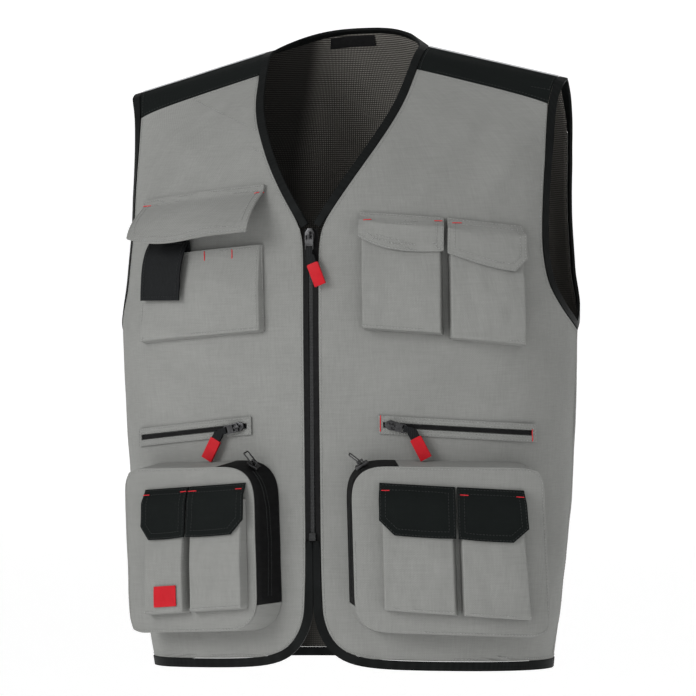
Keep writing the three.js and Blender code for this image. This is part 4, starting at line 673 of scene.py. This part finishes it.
# Zip hardware: dark plated zinc sliders, tabs and wire loops, and red moulded tags on short straps.
dark_metal = Finish("dark_metal", Metallic=1.0)
metal_place = dark_metal.place()
metal_cloud = dark_metal.node("ShaderNodeTexNoise", Vector=metal_place, Scale=260.0, Detail=4.0)
dark_metal.set(Base_Color=dark_metal.mix(metal_cloud, (0.022, 0.022, 0.023, 1), (0.085, 0.085, 0.087, 1)),
               Roughness=metal_cloud * 0.25 + 0.22,
               Normal=dark_metal.node("ShaderNodeBump", Strength=0.15, Distance=0.0003, Height=metal_cloud))
HARDWARE_BEVEL = 0.00035


def hard_piece(node, finish, body, bevel=HARDWARE_BEVEL, cut=None, name=None):
    """A cast or moulded piece with its edges eased, whole or on one side of a cut."""
    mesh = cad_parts[node].data.copy()
    work = bmesh.new()
    work.from_mesh(mesh)
    bmesh.ops.remove_doubles(work, verts=work.verts, dist=WELD)
    if cut:
        place, way = cut
        whole = work.verts[:] + work.edges[:] + work.faces[:]
        made = bmesh.ops.bisect_plane(work, geom=whole, plane_co=place, plane_no=way, clear_outer=True)
        rim = [g for g in made["geom_cut"] if isinstance(g, bmesh.types.BMEdge)]
        bmesh.ops.contextual_create(work, geom=rim)
    bmesh.ops.dissolve_limit(work, angle_limit=math.radians(3), verts=work.verts, edges=work.edges)
    edges = [e for e in work.edges if len(e.link_faces) == 2 and e.calc_face_angle(0) > math.radians(25)]
    bmesh.ops.bevel(work, geom=edges, offset=bevel, segments=2, profile=0.6, affect="EDGES",
                    clamp_overlap=True)
    bmesh.ops.triangulate(work, faces=work.faces)
    work.to_mesh(mesh)
    work.free()
    for polygon in mesh.polygons:
        polygon.use_smooth = True
    mesh.set_sharp_from_angle(angle=math.radians(35))
    return sew(name or "cast_" + node, mesh, finish, [] if name else [node], body)


TAG_RED = 0.0245
SAME_CORNER = 0.0001


def tag(node, tab, body):
    """A red moulded tag on a black cloth holder, cut across where the one meets the other."""
    low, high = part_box(tab)
    start = (low + high) / 2
    corners = [v.co.copy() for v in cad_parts[node].data.vertices]
    places = sorted(corners, key=lambda p: -(p - start).length)
    tip = []
    for p in places:
        if all((p - q).length > SAME_CORNER for q in tip):
            tip.append(p)
        if len(tip) == 4:
            break
    spans = sorted((tip[0] - q for q in tip[1:]), key=lambda d: d.length)
    centre = sum(tip, Vector()) / 4
    way = spans[0].cross(spans[1]).normalized()
    if way.dot(centre - start) < 0:
        way = -way
    place = centre - way * TAG_RED
    hard_piece(node, red_rubber, body, cut=(place, -way))
    hard_piece(node, webbing, body, cut=(place, way), name="holder_" + node)



hard_piece("zip_slider", dark_metal, "vest")
hard_piece("zip_tab", dark_metal, "zip_pull")
tag("zip_tag", "zip_tab", "zip_pull")
for side in ("right", "left"):
    hard_piece("welt_slider_" + side, dark_metal, "vest")
    hard_piece("welt_tab_" + side, dark_metal, "welt_pull_" + side)
    tag("welt_tag_" + side, "welt_tab_" + side, "welt_pull_" + side)
    hard_piece("cargo_slider_" + side, dark_metal, "vest")
    hard_piece("cargo_loop_" + side, dark_metal, "cargo_pull_" + side)
zip_coil = Finish("zip_coil", Roughness=0.4, Specular_IOR_Level=0.25)
coil_place = zip_coil.place()
coil_turns = zip_coil.node("ShaderNodeTexWave", {"bands_direction": "Y"}, Vector=coil_place, Scale=210.0)
coil_shade = coil_turns.factor()
zip_coil.set(Base_Color=zip_coil.mix(coil_shade, (0.003, 0.003, 0.003, 1), (0.035, 0.036, 0.037, 1)),
             Normal=zip_coil.node("ShaderNodeBump", Strength=0.7, Distance=0.0008, Height=coil_shade))
hard_piece("zip_chain", zip_coil, "vest")

# Coils of the lower pockets' zips: beaded lines down the black walls.
COIL_SIZE = 0.0013
COIL_PITCH = 0.0017
COIL_THICK = 0.0007
COIL_APART = 3
COILS = {
    "cargo_zip_right": [(252, 472), (257, 479), (261, 488), (263, 497), (265, 507), (267, 540), (267, 596)],
    "cargo_zip_left": [(359, 469), (352, 482), (349.5, 510), (349.5, 550), (350, 596)],
}
for node, line in COILS.items():
    wall = tree_of(bpy.data.objects["canvas_" + node])
    work = bmesh.new()
    for aside in (0, COIL_APART):
        hits = [wall.ray_cast(*photo_ray(x + aside, y))[0] for x, y in line]
        add_stitches(work, wall, [hit for hit in hits if hit], closed=False,
                     size=COIL_SIZE, pitch=COIL_PITCH, thick=COIL_THICK)
    thread_piece("coil_" + node, work, black_thread)

# Bartacks: dense red stitches at the ends of the pocket seams, where the photograph shows them.
TACK_SIZE = 0.0017
TACK_PITCH = 0.0014
TACK_THICK = 0.0006
TACKS = {
    "chest_flap_right": [(143, 206.5, 150, 206), (254, 193.5, 262, 192.5), (257, 205, 257, 212)],
    "chest_pocket_right": [(203.5, 252, 203.5, 260), (231, 250, 231, 258.5)],
    "chest_flap_first": [(363, 220, 371, 219.5), (434, 221, 441, 221)],
    "chest_flap_second": [(452, 223, 460, 223), (514, 225, 522, 225.5)],
    "welt_left": [(379.5, 416, 379.5, 432), (531.5, 430, 531.5, 441)],
    "cargo_flap_right_outer": [(143, 495.5, 148, 495.2), (180, 492, 186, 491.5)],
    "cargo_flap_right_inner": [(188, 491.5, 195, 491), (235, 489, 241, 488.6)],
    "cargo_flap_left_inner": [(381, 490.5, 389, 490.5), (449, 494, 455, 494.5)],
    "cargo_flap_left_outer": [(460, 495, 467, 495.5), (516, 497, 523, 497.5)],
}
for node, marks in TACKS.items():
    tacked = tree_of(bpy.data.objects["canvas_" + node])
    work = bmesh.new()
    for x0, y0, x1, y1 in marks:
        hits = [tacked.ray_cast(*photo_ray(x, y))[0] for x, y in ((x0, y0), (x1, y1))]
        if all(hits):
            add_stitches(work, tacked, hits, closed=False,
                         size=TACK_SIZE, pitch=TACK_PITCH, thick=TACK_THICK)
        else:
            print("no tack at", node, x0, y0)
    if work.verts:
        thread_piece("tack_" + node, work, red_thread)
    else:
        work.free()
